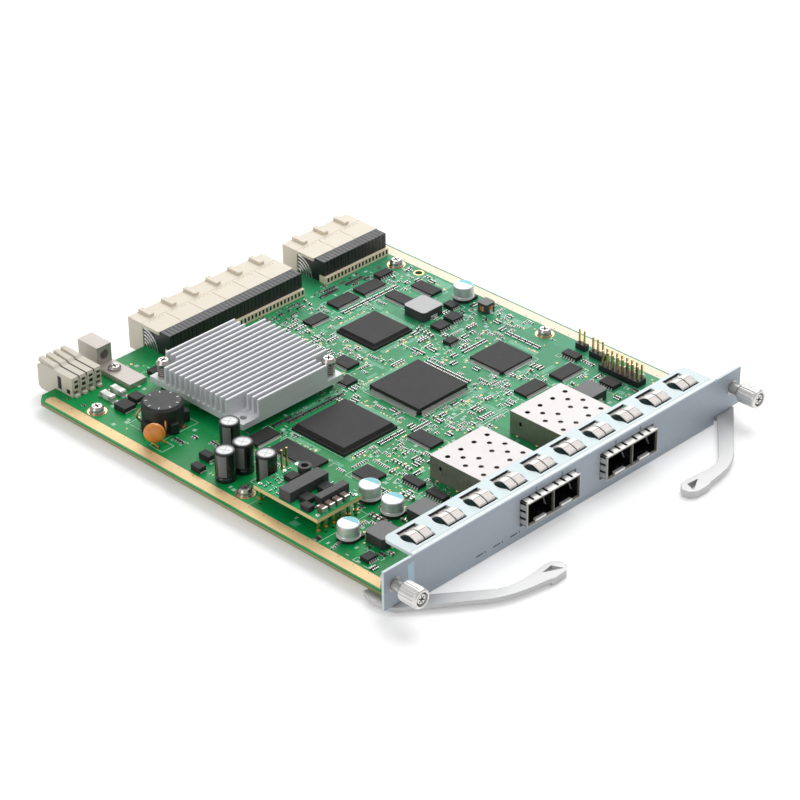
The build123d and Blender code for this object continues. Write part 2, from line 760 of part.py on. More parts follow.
with BuildPart() as pin_header_blocks:
    with BuildSketch(level(board_top)):
        for x, y, a, b in header_blocks + [(-64.53, 84.2, 5.0, 2.5)]:
            with Locations((x, y)):
                Rectangle(a, b)
        for x, y in header_pins + tall_pins:
            with Locations((x, y)):
                Rectangle(0.64, 0.64, mode=Mode.SUBTRACT)
    extrude(amount=2.5)
save(pin_header_blocks, "pin_header_blocks")
with BuildPart() as pin_header_pins:
    for group, top in ((header_pins, 14.6), (tall_pins, 18.7)):
        with BuildSketch(level(board_top)):
            for x, y in group:
                with Locations((x, y)):
                    Rectangle(0.64, 0.64)
        extrude(amount=top - board_top)
save(pin_header_pins, "pin_header_pins")

# Screws that hold the board, with washers above and nuts below
save(
    turned(
        board_screws_at,
        [(0, 0.25), (1.45, 0.25), (1.45, 6.5), (2.7, 6.5), (2.7, 7.4), (2.0, 8.4), (0.5, 8.4), (0.5, 7.6), (0, 7.6)],
    ),
    "board_screws",
)
save(
    turned(board_screws_at, [(1.5, board_top), (3.2, board_top), (3.2, 6.5), (1.5, 6.5)]),
    "screw_washers",
)
with BuildPart() as board_nuts:
    with BuildSketch(level(1.5)):
        for x, y in board_screws_at:
            with Locations((x, y)):
                RegularPolygon(3.1, 6)
                Circle(1.47, mode=Mode.SUBTRACT)
    extrude(amount=board_bottom - 1.5)
save(board_nuts, "board_nuts")

# Lever pivots: shouldered rivets in the board that the levers turn on
save(
    turned(
        pivots_at,
        [
            (0, 0.2), (2.8, 0.2), (2.8, lever_top - lever_thickness - 0.3),
            (lever_hole_radius - lever_running_clearance, lever_top - lever_thickness - 0.3),
            (lever_hole_radius - lever_running_clearance, lever_top + 0.3), (2.7, lever_top + 0.3),
            (2.7, board_bottom), (pivot_rivet_radius, board_bottom), (pivot_rivet_radius, board_top),
            (2.9, board_top), (2.9, 6.6), (2.0, 7.2), (0, 7.2),
        ],
    ),
    "lever_pivots",
)

# Ejector levers: flat plates with a thick finger tip and a claw behind the panel
# Points of their outlines, as x and y from the pivot
lever_outline = [
    (-5.3, 2.5), (-5.3, -7.2), (-18.1, -18.4), (-27.2, -26.1), (-31.0, -28.0), (-35.5, -28.5), (-41.5, -27.9),
    (-47.5, -27.2), (-51.2, -27.8), (-53.8, -30.4), (-53.6, -33.6), (-50.8, -35.5), (-44.4, -35.5), (-42.6, -34.7),
    (-35.1, -33.9), (-29.7, -32.8), (-25.6, -31.1), (-20.8, -28.2), (-13.8, -22.3), (4.9, -7.1), (6.3, -2.5),
    (6.5, 3.0), (4.3, 8.1), (1.5, 7.5), (1.9, 4.5), (-2.3, 5.1),
]
rounded_bends = lever_outline[2:19] + lever_outline[21:23]
tip_outline = [(-43.5, -27.7)] + lever_outline[7:13] + [(-43.2, -35.0)]
finger_hole = [(-49.2, -29.8), (-45.2, -30.2), (-50.4, -33.0)]


def lever(side, turn):
    """One lever; side is -1 for left and 1 for right, turn is its resting angle towards the panel."""
    angle = radians(turn)

    def place(point):
        x = point[0] * cos(angle) + point[1] * sin(angle)
        y = -point[0] * sin(angle) + point[1] * cos(angle)
        return (side * (lever_pivot_x + x), lever_pivot_y + y)

    with BuildPart() as piece:
        with BuildSketch(level(lever_top - lever_thickness)) as plate:
            with BuildLine():
                Polyline(*[place(p) for p in lever_outline], close=True)
            make_face()
            bends = [place(p) for p in rounded_bends]
            rounded = [
                v for v in plate.vertices() if any(abs(v.X - b[0]) + abs(v.Y - front_y - b[1]) < 0.01 for b in bends)
            ]
            fillet(rounded, radius=1.6)
        extrude(amount=lever_thickness)
        with BuildSketch(level(lever_tip_bottom)) as tip:
            with BuildLine():
                Polyline(*[place(p) for p in tip_outline], close=True)
            make_face()
            ends = [place(p) for p in tip_outline[1:-1]]
            fillet(
                [v for v in tip.vertices() if any(abs(v.X - b[0]) + abs(v.Y - front_y - b[1]) < 0.01 for b in ends)],
                radius=1.6,
            )
        extrude(amount=lever_top - lever_tip_bottom)
        with BuildSketch(level(lever_tip_bottom - 0.5)):
            with Locations((side * lever_pivot_x, lever_pivot_y)):
                Circle(lever_hole_radius)
            with BuildLine():
                Polyline(*[place(p) for p in finger_hole], close=True)
            make_face()
        extrude(amount=lever_top + 1.0, mode=Mode.SUBTRACT)
    return piece


save(lever(-1, left_lever_turn), "left_lever")
save(lever(1, 0.0), "right_lever")


# Captive thumbscrews in the ears: a ferrule pressed into the panel, the screw, and its retaining ring
def revolved_along_y(x, profile):
    """Turned about the screw's line; the profile is a list of y and radius pairs."""
    with BuildPart() as piece:
        with BuildSketch(sideways(x, 0, thumb_z)):
            with BuildLine():
                Polyline(*profile, close=True)
            make_face()
        revolve(axis=Axis((x, front_y, thumb_z), (0, 1, 0)))
    return piece


bore = thumb_shank_radius + screw_running_clearance
with BuildPart() as screw_ferrules:
    for x in (-thumb_x, thumb_x):
        with BuildSketch(sideways(x, 0, thumb_z)):
            with BuildLine():
                Polyline(
                    (-ferrule_reach, bore), (-ferrule_reach, ferrule_radius), (0, ferrule_radius),
                    (0, ferrule_radius - 0.3), (sheet, ferrule_radius - 0.3), (sheet, 3.4), (2.2, 3.4), (2.2, bore),
                    close=True,
                )
            make_face()
        revolve(axis=Axis((x, front_y, thumb_z), (0, 1, 0)))
save(screw_ferrules, "screw_ferrules")


def thumbscrew(x):
    head_back = -thumb_reach + thumb_head_length
    with BuildPart() as piece:
        with BuildSketch(upright(head_back, x, thumb_z)):
            with BuildLine():
                teeth = []
                for i in range(2 * knurl_count):
                    radius = thumb_head_radius if i % 2 == 0 else thumb_head_radius - knurl_depth
                    angle = radians(i * 180 / knurl_count)
                    teeth.append((radius * cos(angle), radius * sin(angle)))
                Polyline(*teeth, close=True)
            make_face()
        extrude(amount=thumb_head_length - 0.9)
        with BuildSketch(sideways(x, 0, thumb_z)):
            with BuildLine():
                Polyline(
                    (-thumb_reach + 0.9, 0), (-thumb_reach + 0.9, thumb_head_radius - 0.3),
                    (-thumb_reach, thumb_head_radius - 1.0), (-thumb_reach, 2.5), (-thumb_reach + 0.6, 2.3),
                    (-thumb_reach + 0.6, 0), close=True,
                )
            make_face()
        revolve(axis=Axis((x, front_y, thumb_z), (0, 1, 0)))
        with BuildSketch(sideways(x, 0, thumb_z)):
            with BuildLine():
                Polyline(
                    (head_back, 0), (head_back, thumb_skirt_radius),
                    (head_back - thumb_skirt_depth, thumb_skirt_radius), (head_back - thumb_skirt_depth, 0),
                    close=True,
                )
            make_face()
        revolve(axis=Axis((x, front_y, thumb_z), (0, 1, 0)), mode=Mode.SUBTRACT)
        with BuildSketch(sideways(x, 0, thumb_z)):
            with BuildLine():
                Polyline(
                    (head_back - thumb_skirt_depth - 0.5, 0), (head_back - thumb_skirt_depth - 0.5, thumb_shank_radius),
                    (ring_y - ring_side_gap, thumb_shank_radius), (ring_y - ring_side_gap, ring_groove_radius),
                    (ring_y + ring_thickness + ring_side_gap, ring_groove_radius),
                    (ring_y + ring_thickness + ring_side_gap, thumb_shank_radius),
                    (thumb_tail - 0.6, thumb_shank_radius), (thumb_tail, thumb_shank_radius - 0.6), (thumb_tail, 0),
                    close=True,
                )
            make_face()
        revolve(axis=Axis((x, front_y, thumb_z), (0, 1, 0)))
        with BuildSketch(upright(-thumb_reach + 2.4, x, thumb_z)):
            Rectangle(3.2, 0.7)
            Rectangle(0.7, 3.2)
        extrude(amount=3.0, mode=Mode.SUBTRACT)
    return piece


save(thumbscrew(-thumb_x), "left_thumbscrew")
save(thumbscrew(thumb_x), "right_thumbscrew")
ring_profile = [
    (ring_y, ring_groove_radius + ring_running_clearance), (ring_y, 2.6), (ring_y + ring_thickness, 2.6),
    (ring_y + ring_thickness, ring_groove_radius + ring_running_clearance),
]
save(revolved_along_y(-thumb_x, ring_profile), "left_screw_ring")
save(revolved_along_y(thumb_x, ring_profile), "right_screw_ring")
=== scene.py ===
import json
import random
from math import atan2, cos, hypot, pi, radians, sin

import bpy
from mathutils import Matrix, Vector


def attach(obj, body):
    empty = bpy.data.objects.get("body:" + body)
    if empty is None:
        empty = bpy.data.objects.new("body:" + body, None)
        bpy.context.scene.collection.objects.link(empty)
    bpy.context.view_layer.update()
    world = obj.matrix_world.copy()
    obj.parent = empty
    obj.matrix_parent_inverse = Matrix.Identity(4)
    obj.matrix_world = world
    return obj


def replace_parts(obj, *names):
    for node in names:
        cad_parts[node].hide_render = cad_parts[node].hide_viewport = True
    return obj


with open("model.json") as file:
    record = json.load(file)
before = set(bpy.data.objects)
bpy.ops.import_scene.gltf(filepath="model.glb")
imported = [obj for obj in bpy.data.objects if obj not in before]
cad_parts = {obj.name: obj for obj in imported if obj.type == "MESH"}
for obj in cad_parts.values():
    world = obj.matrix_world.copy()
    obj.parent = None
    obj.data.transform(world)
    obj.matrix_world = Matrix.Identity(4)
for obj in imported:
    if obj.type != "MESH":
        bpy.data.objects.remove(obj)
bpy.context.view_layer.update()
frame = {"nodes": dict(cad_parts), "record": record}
nodes = frame["nodes"]
draw = random.Random(11)

# Places are in millimetres, x from the card's middle, y from the panel's front face, z from the surface it lies on.
FRONT = -88.65
BOARD_TOP = 5.9
BOARD_BOTTOM = 3.9
BOARD_EDGE = 91.7
BOARD_BACK = 195.7


def metres(x, y, z):
    return Vector((x, FRONT + y, z)) / 1000


# Camera, lights, floor
SENSOR = 36.0
IMAGE = 800
FOCAL_PIXELS = 2958.421
AZIMUTH, ELEVATION, ROLL = radians(-135.374), radians(31.421), radians(-0.464)
DISTANCE = 1131.032
CENTRE_X, CENTRE_Y = 415.1, 418.546
target = metres(0, 80, 5)
toward = Vector((cos(ELEVATION) * cos(AZIMUTH), cos(ELEVATION) * sin(AZIMUTH), sin(ELEVATION)))
camera_data = bpy.data.cameras.new("camera")
camera = bpy.data.objects.new("camera", camera_data)
bpy.context.scene.collection.objects.link(camera)
camera_data.sensor_width = SENSOR
camera_data.lens = FOCAL_PIXELS / IMAGE * SENSOR
camera_data.shift_x = -(CENTRE_X - IMAGE / 2) / IMAGE
camera_data.shift_y = (CENTRE_Y - IMAGE / 2) / IMAGE
camera_data.clip_start = 0.01
camera_data.clip_end = 20
camera.location = target + toward * DISTANCE / 1000
camera.rotation_euler = (-toward).to_track_quat("-Z", "Y").to_euler()
camera.rotation_euler.rotate_axis("Z", ROLL)
bpy.context.scene.camera = camera
bpy.context.scene.view_settings.view_transform = "Standard"


def lamp(name, place, aim, size, power, colour=(1, 1, 1)):
    data = bpy.data.lights.new(name, "AREA")
    data.shape = "RECTANGLE"
    data.size, data.size_y = size
    data.energy = power
    data.color = colour
    item = bpy.data.objects.new(name, data)
    bpy.context.scene.collection.objects.link(item)
    item.location = place
    item.rotation_euler = (Vector(aim) - Vector(place)).to_track_quat("-Z", "Y").to_euler()
    return item


lamp("key_softbox", (0.55, 0.15, 0.95), (0, 0, 0), (0.7, 0.7), 6.4)
lamp("rear_softbox", (0.62, 0.72, 0.50), (0.03, 0.02, 0), (0.75, 0.45), 2.6)
lamp("left_softbox", (-0.95, 0.10, 0.55), (0, 0, 0), (0.5, 0.8), 1.8)


# Node materials
def new_material(name):
    made = bpy.data.materials.new(name)
    made.use_nodes = True
    return made, made.node_tree, made.node_tree.nodes["Principled BSDF"]


def node(tree, kind, **settings):
    made = tree.nodes.new("ShaderNode" + kind)
    for key, value in settings.items():
        setattr(made, key, value)
    return made


def fill(socket_owner, **values):
    for key, value in values.items():
        socket_owner.inputs[key.replace("_", " ")].default_value = value
    return socket_owner


def mix_colour(tree, factor, first, second):
    mixed = node(tree, "Mix", data_type="RGBA")
    for socket, value in ((mixed.inputs[0], factor), (mixed.inputs[6], first), (mixed.inputs[7], second)):
        if isinstance(value, bpy.types.NodeSocket):
            tree.links.new(value, socket)
        elif isinstance(value, (int, float)):
            socket.default_value = value
        else:
            socket.default_value = (*value, 1)
    return mixed.outputs[2]


def calc(tree, operation, first, second=0.0, third=0.0):
    made = node(tree, "Math", operation=operation)
    for socket, value in zip(made.inputs, (first, second, third)):
        if isinstance(value, bpy.types.NodeSocket):
            tree.links.new(value, socket)
        else:
            socket.default_value = value
    return made.outputs[0]


def noise(tree, place, scale, detail=3.0, stretch=(1, 1, 1)):
    mapping = node(tree, "Mapping")
    mapping.inputs["Scale"].default_value = stretch
    tree.links.new(place, mapping.inputs["Vector"])
    made = fill(node(tree, "TexNoise"), Scale=scale, Detail=detail, Roughness=0.6)
    tree.links.new(mapping.outputs[0], made.inputs["Vector"])
    return made.outputs[0]


def ramp(tree, value, low, high, out_low=0.0, out_high=1.0):
    made = node(tree, "MapRange", clamp=True)
    for key, number in (("From Min", low), ("From Max", high), ("To Min", out_low), ("To Max", out_high)):
        made.inputs[key].default_value = number
    tree.links.new(value, made.inputs["Value"])
    return made.outputs["Result"]


def shaded(colour, change):
    return tuple(min(1.0, max(0.0, c * change)) for c in colour)


def surface(name, colour, rough, metal=0.0, spread=0.10, scale=220.0, stretch=(1, 1, 1), rough_spread=0.08,
            bump=0.03, grain=2600.0, edge=0.0, coat=0.0, specular=0.5):
    """A finish whose colour, roughness and relief all vary a little over the surface."""
    made, tree, shader = new_material(name)
    place = node(tree, "TexCoord").outputs["Object"]
    patches = noise(tree, place, scale, 4.0, stretch)
    fine = noise(tree, place, grain, 2.0, stretch)
    blend = ramp(tree, patches, 0.3, 0.7)
    base = mix_colour(tree, blend, shaded(colour, 1 - spread), shaded(colour, 1 + spread * 0.6))
    tree.links.new(base, shader.inputs["Base Color"])
    tree.links.new(
        ramp(tree, patches, 0.25, 0.75, max(0.02, rough - rough_spread), min(1.0, rough + rough_spread)),
        shader.inputs["Roughness"],
    )
    shader.inputs["Metallic"].default_value = metal
    shader.inputs["Specular IOR Level"].default_value = specular
    if coat:
        shader.inputs["Coat Weight"].default_value = coat
        shader.inputs["Coat Roughness"].default_value = 0.15
    relief = fill(node(tree, "Bump"), Strength=bump, Distance=0.0002)
    tree.links.new(fine, relief.inputs["Height"])
    if edge:
        rounded = node(tree, "Bevel", samples=4)
        rounded.inputs["Radius"].default_value = edge / 1000
        tree.links.new(rounded.outputs[0], relief.inputs["Normal"])
    tree.links.new(relief.outputs[0], shader.inputs["Normal"])
    return made


def axis_of(tree, output, axis):
    split = node(tree, "SeparateXYZ")
    tree.links.new(output, split.inputs[0])
    return split.outputs[axis]


def board_material(name, light, dark, right_sheen_light, right_sheen_dark, edge_colour, mask_from):
    """Solder mask over copper planes and buried tracks, with the laminate showing at the board's edges."""
    made, tree, shader = new_material(name)
    coords = node(tree, "TexCoord")
    place = coords.outputs["Object"]
    cells = node(tree, "TexVoronoi", distance="CHEBYCHEV", feature="F1")
    cells.inputs["Scale"].default_value = 62.0
    tree.links.new(place, cells.inputs["Vector"])
    cell_red = axis_of(tree, cells.outputs["Color"], 0)
    cell_green = axis_of(tree, cells.outputs["Color"], 1)
    planes = ramp(tree, cell_red, 0.45, 0.55)
    clouds = ramp(tree, noise(tree, place, 30.0, 3.0), 0.35, 0.65)
    depth = calc(tree, "MULTIPLY_ADD", clouds, 0.35, calc(tree, "MULTIPLY", planes, 0.3))
    # from left to right the mask turns paler and bluer: painted reflection of the lamps on the board's right part
    across = ramp(tree, axis_of(tree, place, 0), -0.06, 0.085)
    base = mix_colour(tree, across, mix_colour(tree, depth, dark, light), mix_colour(tree, depth, right_sheen_dark, right_sheen_light))
    # ghost tracks under the mask, running one way or the other from cell to cell
    lines = []
    for axis in (0, 1):
        wave = calc(tree, "SINE", calc(tree, "MULTIPLY", axis_of(tree, place, axis), 2 * pi / 0.0009))
        lines.append(ramp(tree, wave, 0.35, 0.75))
    turn = calc(tree, "GREATER_THAN", cell_green, 0.5)
    either = calc(tree, "ADD", calc(tree, "MULTIPLY", lines[0], turn),
                  calc(tree, "MULTIPLY", lines[1], calc(tree, "SUBTRACT", 1.0, turn)))
    shown = calc(tree, "MULTIPLY", either, calc(tree, "GREATER_THAN", cell_red, 0.62))
    base = mix_colour(tree, calc(tree, "MULTIPLY", shown, 0.22), base, shaded(light, 1.7))
    side = calc(tree, "LESS_THAN", calc(tree, "ABSOLUTE", axis_of(tree, coords.outputs["Normal"], 2)), 0.5)
    layers = calc(tree, "SINE", calc(tree, "MULTIPLY", axis_of(tree, place, 2), 2 * pi / 0.00036))
    laminate = mix_colour(tree, ramp(tree, layers, -1.0, 1.0), shaded(edge_colour, 0.72), shaded(edge_colour, 1.2))
    mask = calc(tree, "GREATER_THAN", axis_of(tree, place, 2), mask_from / 1000)
    base = mix_colour(tree, side, base, mix_colour(tree, mask, laminate, dark))
    tree.links.new(base, shader.inputs["Base Color"])
    tree.links.new(ramp(tree, noise(tree, place, 900.0, 2.0), 0.3, 0.7, 0.30, 0.42), shader.inputs["Roughness"])
    shader.inputs["Specular IOR Level"].default_value = 0.25
    relief = fill(node(tree, "Bump"), Strength=0.12, Distance=0.0001)
    tree.links.new(shown, relief.inputs["Height"])
    tree.links.new(relief.outputs[0], shader.inputs["Normal"])
    return made


def panel_material(name, face, flange):
    """Painted face, with the bent flange and the back left in bare passivated steel; their pale bluish colour also
    paints in the light on the flange's top.
    """
    made, tree, shader = new_material(name)
    coords = node(tree, "TexCoord")
    place = coords.outputs["Object"]
    forward = ramp(tree, axis_of(tree, coords.outputs["Normal"], 1), -0.6, -0.35, 1.0, 0.0)
    patches = ramp(tree, noise(tree, place, 90.0, 4.0), 0.3, 0.7)
    speckle = ramp(tree, noise(tree, place, 2400.0, 2.0), 0.35, 0.65)
    painted = mix_colour(tree, speckle, shaded(face, 0.93), shaded(face, 1.05))
    # every face not turned forward gets the pale flange colour: bare steel, and painted light on the flange's top
    bare = mix_colour(tree, patches, shaded(flange, 0.92), flange)
    tree.links.new(mix_colour(tree, forward, bare, painted), shader.inputs["Base Color"])
    tree.links.new(calc(tree, "MULTIPLY_ADD", forward, -0.03, 0.10), shader.inputs["Metallic"])
    tree.links.new(calc(tree, "MULTIPLY_ADD", forward, 0.0, 0.42), shader.inputs["Roughness"])
    relief = fill(node(tree, "Bump"), Strength=0.06, Distance=0.0001)
    tree.links.new(speckle, relief.inputs["Height"])
    rounded = node(tree, "Bevel", samples=4)
    rounded.inputs["Radius"].default_value = 0.0002
    tree.links.new(rounded.outputs[0], relief.inputs["Normal"])
    tree.links.new(relief.outputs[0], shader.inputs["Normal"])
    return made


def cage_material(name, top, wall):
    """Plated sheet: its top in the lighter colour, its standing walls darker, duller and more olive, as painted light
    and painted shade.
    """
    made = surface(name, top, 0.34, 0.85, 0.04, 120.0, edge=0.15)
    tree, shader = made.node_tree, made.node_tree.nodes["Principled BSDF"]
    coords = node(tree, "TexCoord")
    # faces turned up get the lit top colour, standing walls the painted shade and reflection colour
    lit_top_mask = ramp(tree, axis_of(tree, coords.outputs["Normal"], 2), 0.45, 0.75)
    clouds = ramp(tree, noise(tree, coords.outputs["Object"], 110.0, 4.0), 0.3, 0.7)
    painted_shade_wall = mix_colour(tree, clouds, shaded(wall, 0.85), shaded(wall, 1.15))
    lit_top_colour = shader.inputs["Base Color"].links[0].from_socket
    tree.links.new(mix_colour(tree, lit_top_mask, painted_shade_wall, lit_top_colour), shader.inputs["Base Color"])
    tree.links.new(ramp(tree, lit_top_mask, 0.0, 1.0, 0.45, 0.25), shader.inputs["Metallic"])
    tree.links.new(ramp(tree, lit_top_mask, 0.0, 1.0, 0.50, 0.42), shader.inputs["Roughness"])
    return made


ALONG_X = (0.08, 1, 1)
finish = {
    # the third and fourth colours are the main board's paler, bluer right part: painted reflection
    "board_green": board_material("board_green", (0.0, 0.34, 0.085), (0.0, 0.23, 0.05), (0.055, 0.37, 0.19), (0.03, 0.26, 0.12),
                                  (0.27, 0.29, 0.13), BOARD_TOP - 0.6),
    "converter_green": board_material("converter_green", (0.01, 0.40, 0.13), (0.0, 0.28, 0.08), (0.01, 0.40, 0.13), (0.0, 0.28, 0.08),
                                      (0.95, 0.70, 0.34), 12.4),
    # the pale flange colour is partly painted light on the flange's top
    "panel_paint": panel_material("panel_paint", (0.44, 0.50, 0.57), (0.66, 0.76, 0.78)),
    "nickel": surface("nickel", (0.50, 0.46, 0.42), 0.42, 0.45, 0.08, edge=0.12),
    "clip_metal": surface("clip_metal", (0.80, 0.77, 0.74), 0.36, 0.2, 0.04, edge=0.18),
    # lighter top and darker olive walls of the cages: painted light and painted shade
    "cage_nickel": cage_material("cage_nickel", (0.66, 0.63, 0.62), (0.26, 0.26, 0.21)),
    "collar_metal": surface("collar_metal", (0.62, 0.60, 0.58), 0.32, 0.6, 0.06, edge=0.12),
    # dark sheets inside the cage ports: painted shade
    "painted_port_shade": surface("painted_port_shade", (0.014, 0.014, 0.015), 0.22, spread=0.3, coat=0.3),
    # near-white for the latch tabs, partly painted highlight, and for the painted glints in the ports
    "latch_white_and_painted_highlight": surface("latch_white_and_painted_highlight", (0.95, 0.95, 0.95), 0.35, 0.3, 0.05),
    "drum_black": surface("drum_black", (0.03, 0.03, 0.032), 0.4, spread=0.2, edge=0.2),
    "screw_steel": surface("screw_steel", (0.55, 0.52, 0.49), 0.22, 1.0, 0.10, edge=0.25),
    "black_plastic": surface("black_plastic", (0.018, 0.018, 0.019), 0.48, spread=0.25, edge=0.15),
    "beige_plastic": surface("beige_plastic", (0.78, 0.71, 0.59), 0.50, spread=0.04, bump=0.05, edge=0.15),
    "wafer_plastic": surface("wafer_plastic", (0.020, 0.020, 0.022), 0.33, spread=0.35, stretch=(1, 1, 0.25), edge=0.1),
    "power_plastic": surface("power_plastic", (0.65, 0.61, 0.51), 0.50, spread=0.05, bump=0.05, edge=0.15),
    "tin": surface("tin", (0.74, 0.74, 0.73), 0.30, 0.85, 0.10),
    "gold": surface("gold", (0.83, 0.58, 0.22), 0.28, 0.95, 0.12),
    "chip_plastic": surface("chip_plastic", (0.038, 0.036, 0.036), 0.46, spread=0.12, scale=420.0, bump=0.10, edge=0.12, specular=0.14),
    "pad_grey": surface("pad_grey", (0.30, 0.31, 0.33), 0.8),
    "sink_aluminium": surface("sink_aluminium", (0.74, 0.75, 0.77), 0.40, 0.15, 0.04, 300.0, ALONG_X),
    "spring_steel": surface("spring_steel", (0.42, 0.39, 0.37), 0.28, 0.95, 0.10),
    "copper": surface("copper", (0.72, 0.34, 0.16), 0.30, 0.95, 0.12),
    "orange_coat": surface("orange_coat", (0.78, 0.27, 0.035), 0.28, spread=0.16, scale=420.0, bump=0.08, coat=0.4),
    "sleeve_black": surface("sleeve_black", (0.012, 0.012, 0.013), 0.20, spread=0.2, coat=0.5),
    "can_aluminium": surface("can_aluminium", (0.72, 0.74, 0.76), 0.34, 0.5, 0.06, 500.0, ALONG_X),
    "fuse_white": surface("fuse_white", (0.74, 0.72, 0.67), 0.42, spread=0.06),
    "core_ferrite": surface("core_ferrite", (0.055, 0.054, 0.056), 0.52, spread=0.2, bump=0.15, edge=0.25),
    "ceramic_brown": surface("ceramic_brown", (0.20, 0.115, 0.085), 0.45, spread=0.12),
    "inductor_grey": surface("inductor_grey", (0.17, 0.17, 0.175), 0.55, spread=0.10, scale=900.0, bump=0.2, edge=0.2),
    "ferrule_steel": surface("ferrule_steel", (0.56, 0.54, 0.52), 0.32, 0.75, 0.10, edge=0.1),
    "lever_steel": surface("lever_steel", (0.60, 0.60, 0.60), 0.36, 0.35, 0.02, 60.0, bump=0.0, edge=0.35),
    "thumb_steel": surface("thumb_steel", (0.78, 0.77, 0.75), 0.36, 0.85, 0.03, 90.0, bump=0.01, edge=0.22),
    "silk_white": surface("silk_white", (0.70, 0.86, 0.78), 0.60, spread=0.08, scale=900.0),
    "track_green": surface("track_green", (0.27, 0.64, 0.45), 0.42, spread=0.10, scale=700.0),
    "pad_gold": surface("pad_gold", (0.86, 0.58, 0.30), 0.26, 0.9, 0.16, 90.0),
    "strip_gold": surface("strip_gold", (0.76, 0.55, 0.28), 0.42, 0.35, 0.26, 26.0),
    # near-black for holes, recesses, slots, grooves and gaps drawn as flat patches: painted shade
    "painted_hole_shade": surface("painted_hole_shade", (0.010, 0.009, 0.008), 0.6),
    "label_blue": surface("label_blue", (0.52, 0.70, 0.84), 0.45, spread=0.04),
    # dark print on the panel, and painted shade in the thumbscrews' end recesses
    "print_and_end_face_shade": surface("print_and_end_face_shade", (0.05, 0.055, 0.06), 0.5),
    "mark_cyan": surface("mark_cyan", (0.20, 0.62, 0.70), 0.40, spread=0.06),
    "stripe_grey": surface("stripe_grey", (0.42, 0.42, 0.43), 0.35, spread=0.06),
    "solder": surface("solder", (0.70, 0.69, 0.68), 0.24, 0.9, 0.10),
    # lighter grey for the wafers' painted highlights
    "wafer_highlight_grey": surface("wafer_highlight_grey", (0.065, 0.065, 0.07), 0.40, spread=0.2),
    # paler copy of the strip gold for the right strips: painted reflection
    "painted_reflection_cream": surface("painted_reflection_cream", (0.86, 0.77, 0.60), 0.50, 0.1, 0.06, 26.0),
    "lead_tin": surface("lead_tin", (0.80, 0.78, 0.77), 0.36, 0.25, 0.06),
    "comb_cream": surface("comb_cream", (0.97, 0.84, 0.62), 0.50, spread=0.04, bump=0.05),
    # lighter fin tops: painted highlight
    "painted_fin_top_highlight": surface("painted_fin_top_highlight", (0.84, 0.84, 0.85), 0.40, 0.2, 0.03),
    # dark teal under the clip windows: painted shade
    "teal_painted_shade": surface("teal_painted_shade", (0.012, 0.070, 0.075), 0.6, spread=0.2),
    # beige front slopes and dark creases of the clip fingers: painted shade
    "painted_slope_shade": surface("painted_slope_shade", (0.70, 0.64, 0.60), 0.42, 0.1, 0.04),
    "painted_crease_shade": surface("painted_crease_shade", (0.12, 0.08, 0.075), 0.5),
    "top_white": surface("top_white", (0.80, 0.80, 0.80), 0.40, 0.1, 0.04),
    # white bend strip and grey line on the flange: painted highlight and painted shade
    "painted_bend_highlight": surface("painted_bend_highlight", (0.84, 0.89, 0.90), 0.40, spread=0.03),
    "painted_bend_shade": surface("painted_bend_shade", (0.42, 0.50, 0.53), 0.45),
    "top_grey": surface("top_grey", (0.50, 0.50, 0.505), 0.50, spread=0.05, scale=900.0, bump=0.1),
    # darker beige for the step line on the connector tops, painted shade, and for generic print dashes
    "beige_shade": surface("beige_shade", (0.46, 0.40, 0.31), 0.55),
    "floor_white": surface("floor_white", (0.90, 0.90, 0.90), 0.85, spread=0.01, bump=0.0, specular=0.0),
}

slots = {
    row["node"]: row["material_slot"] for row in frame["record"]["subparts"]
}
finish_of = {"gasket_clips": "clip_metal", "cage_gaskets": "collar_metal", "connector_combs": "comb_cream",
             "electrolytic_tops": "top_white"}
for name, item in nodes.items():
    item.data.materials.clear()
    item.data.materials.append(finish[finish_of.get(name, slots[name])])


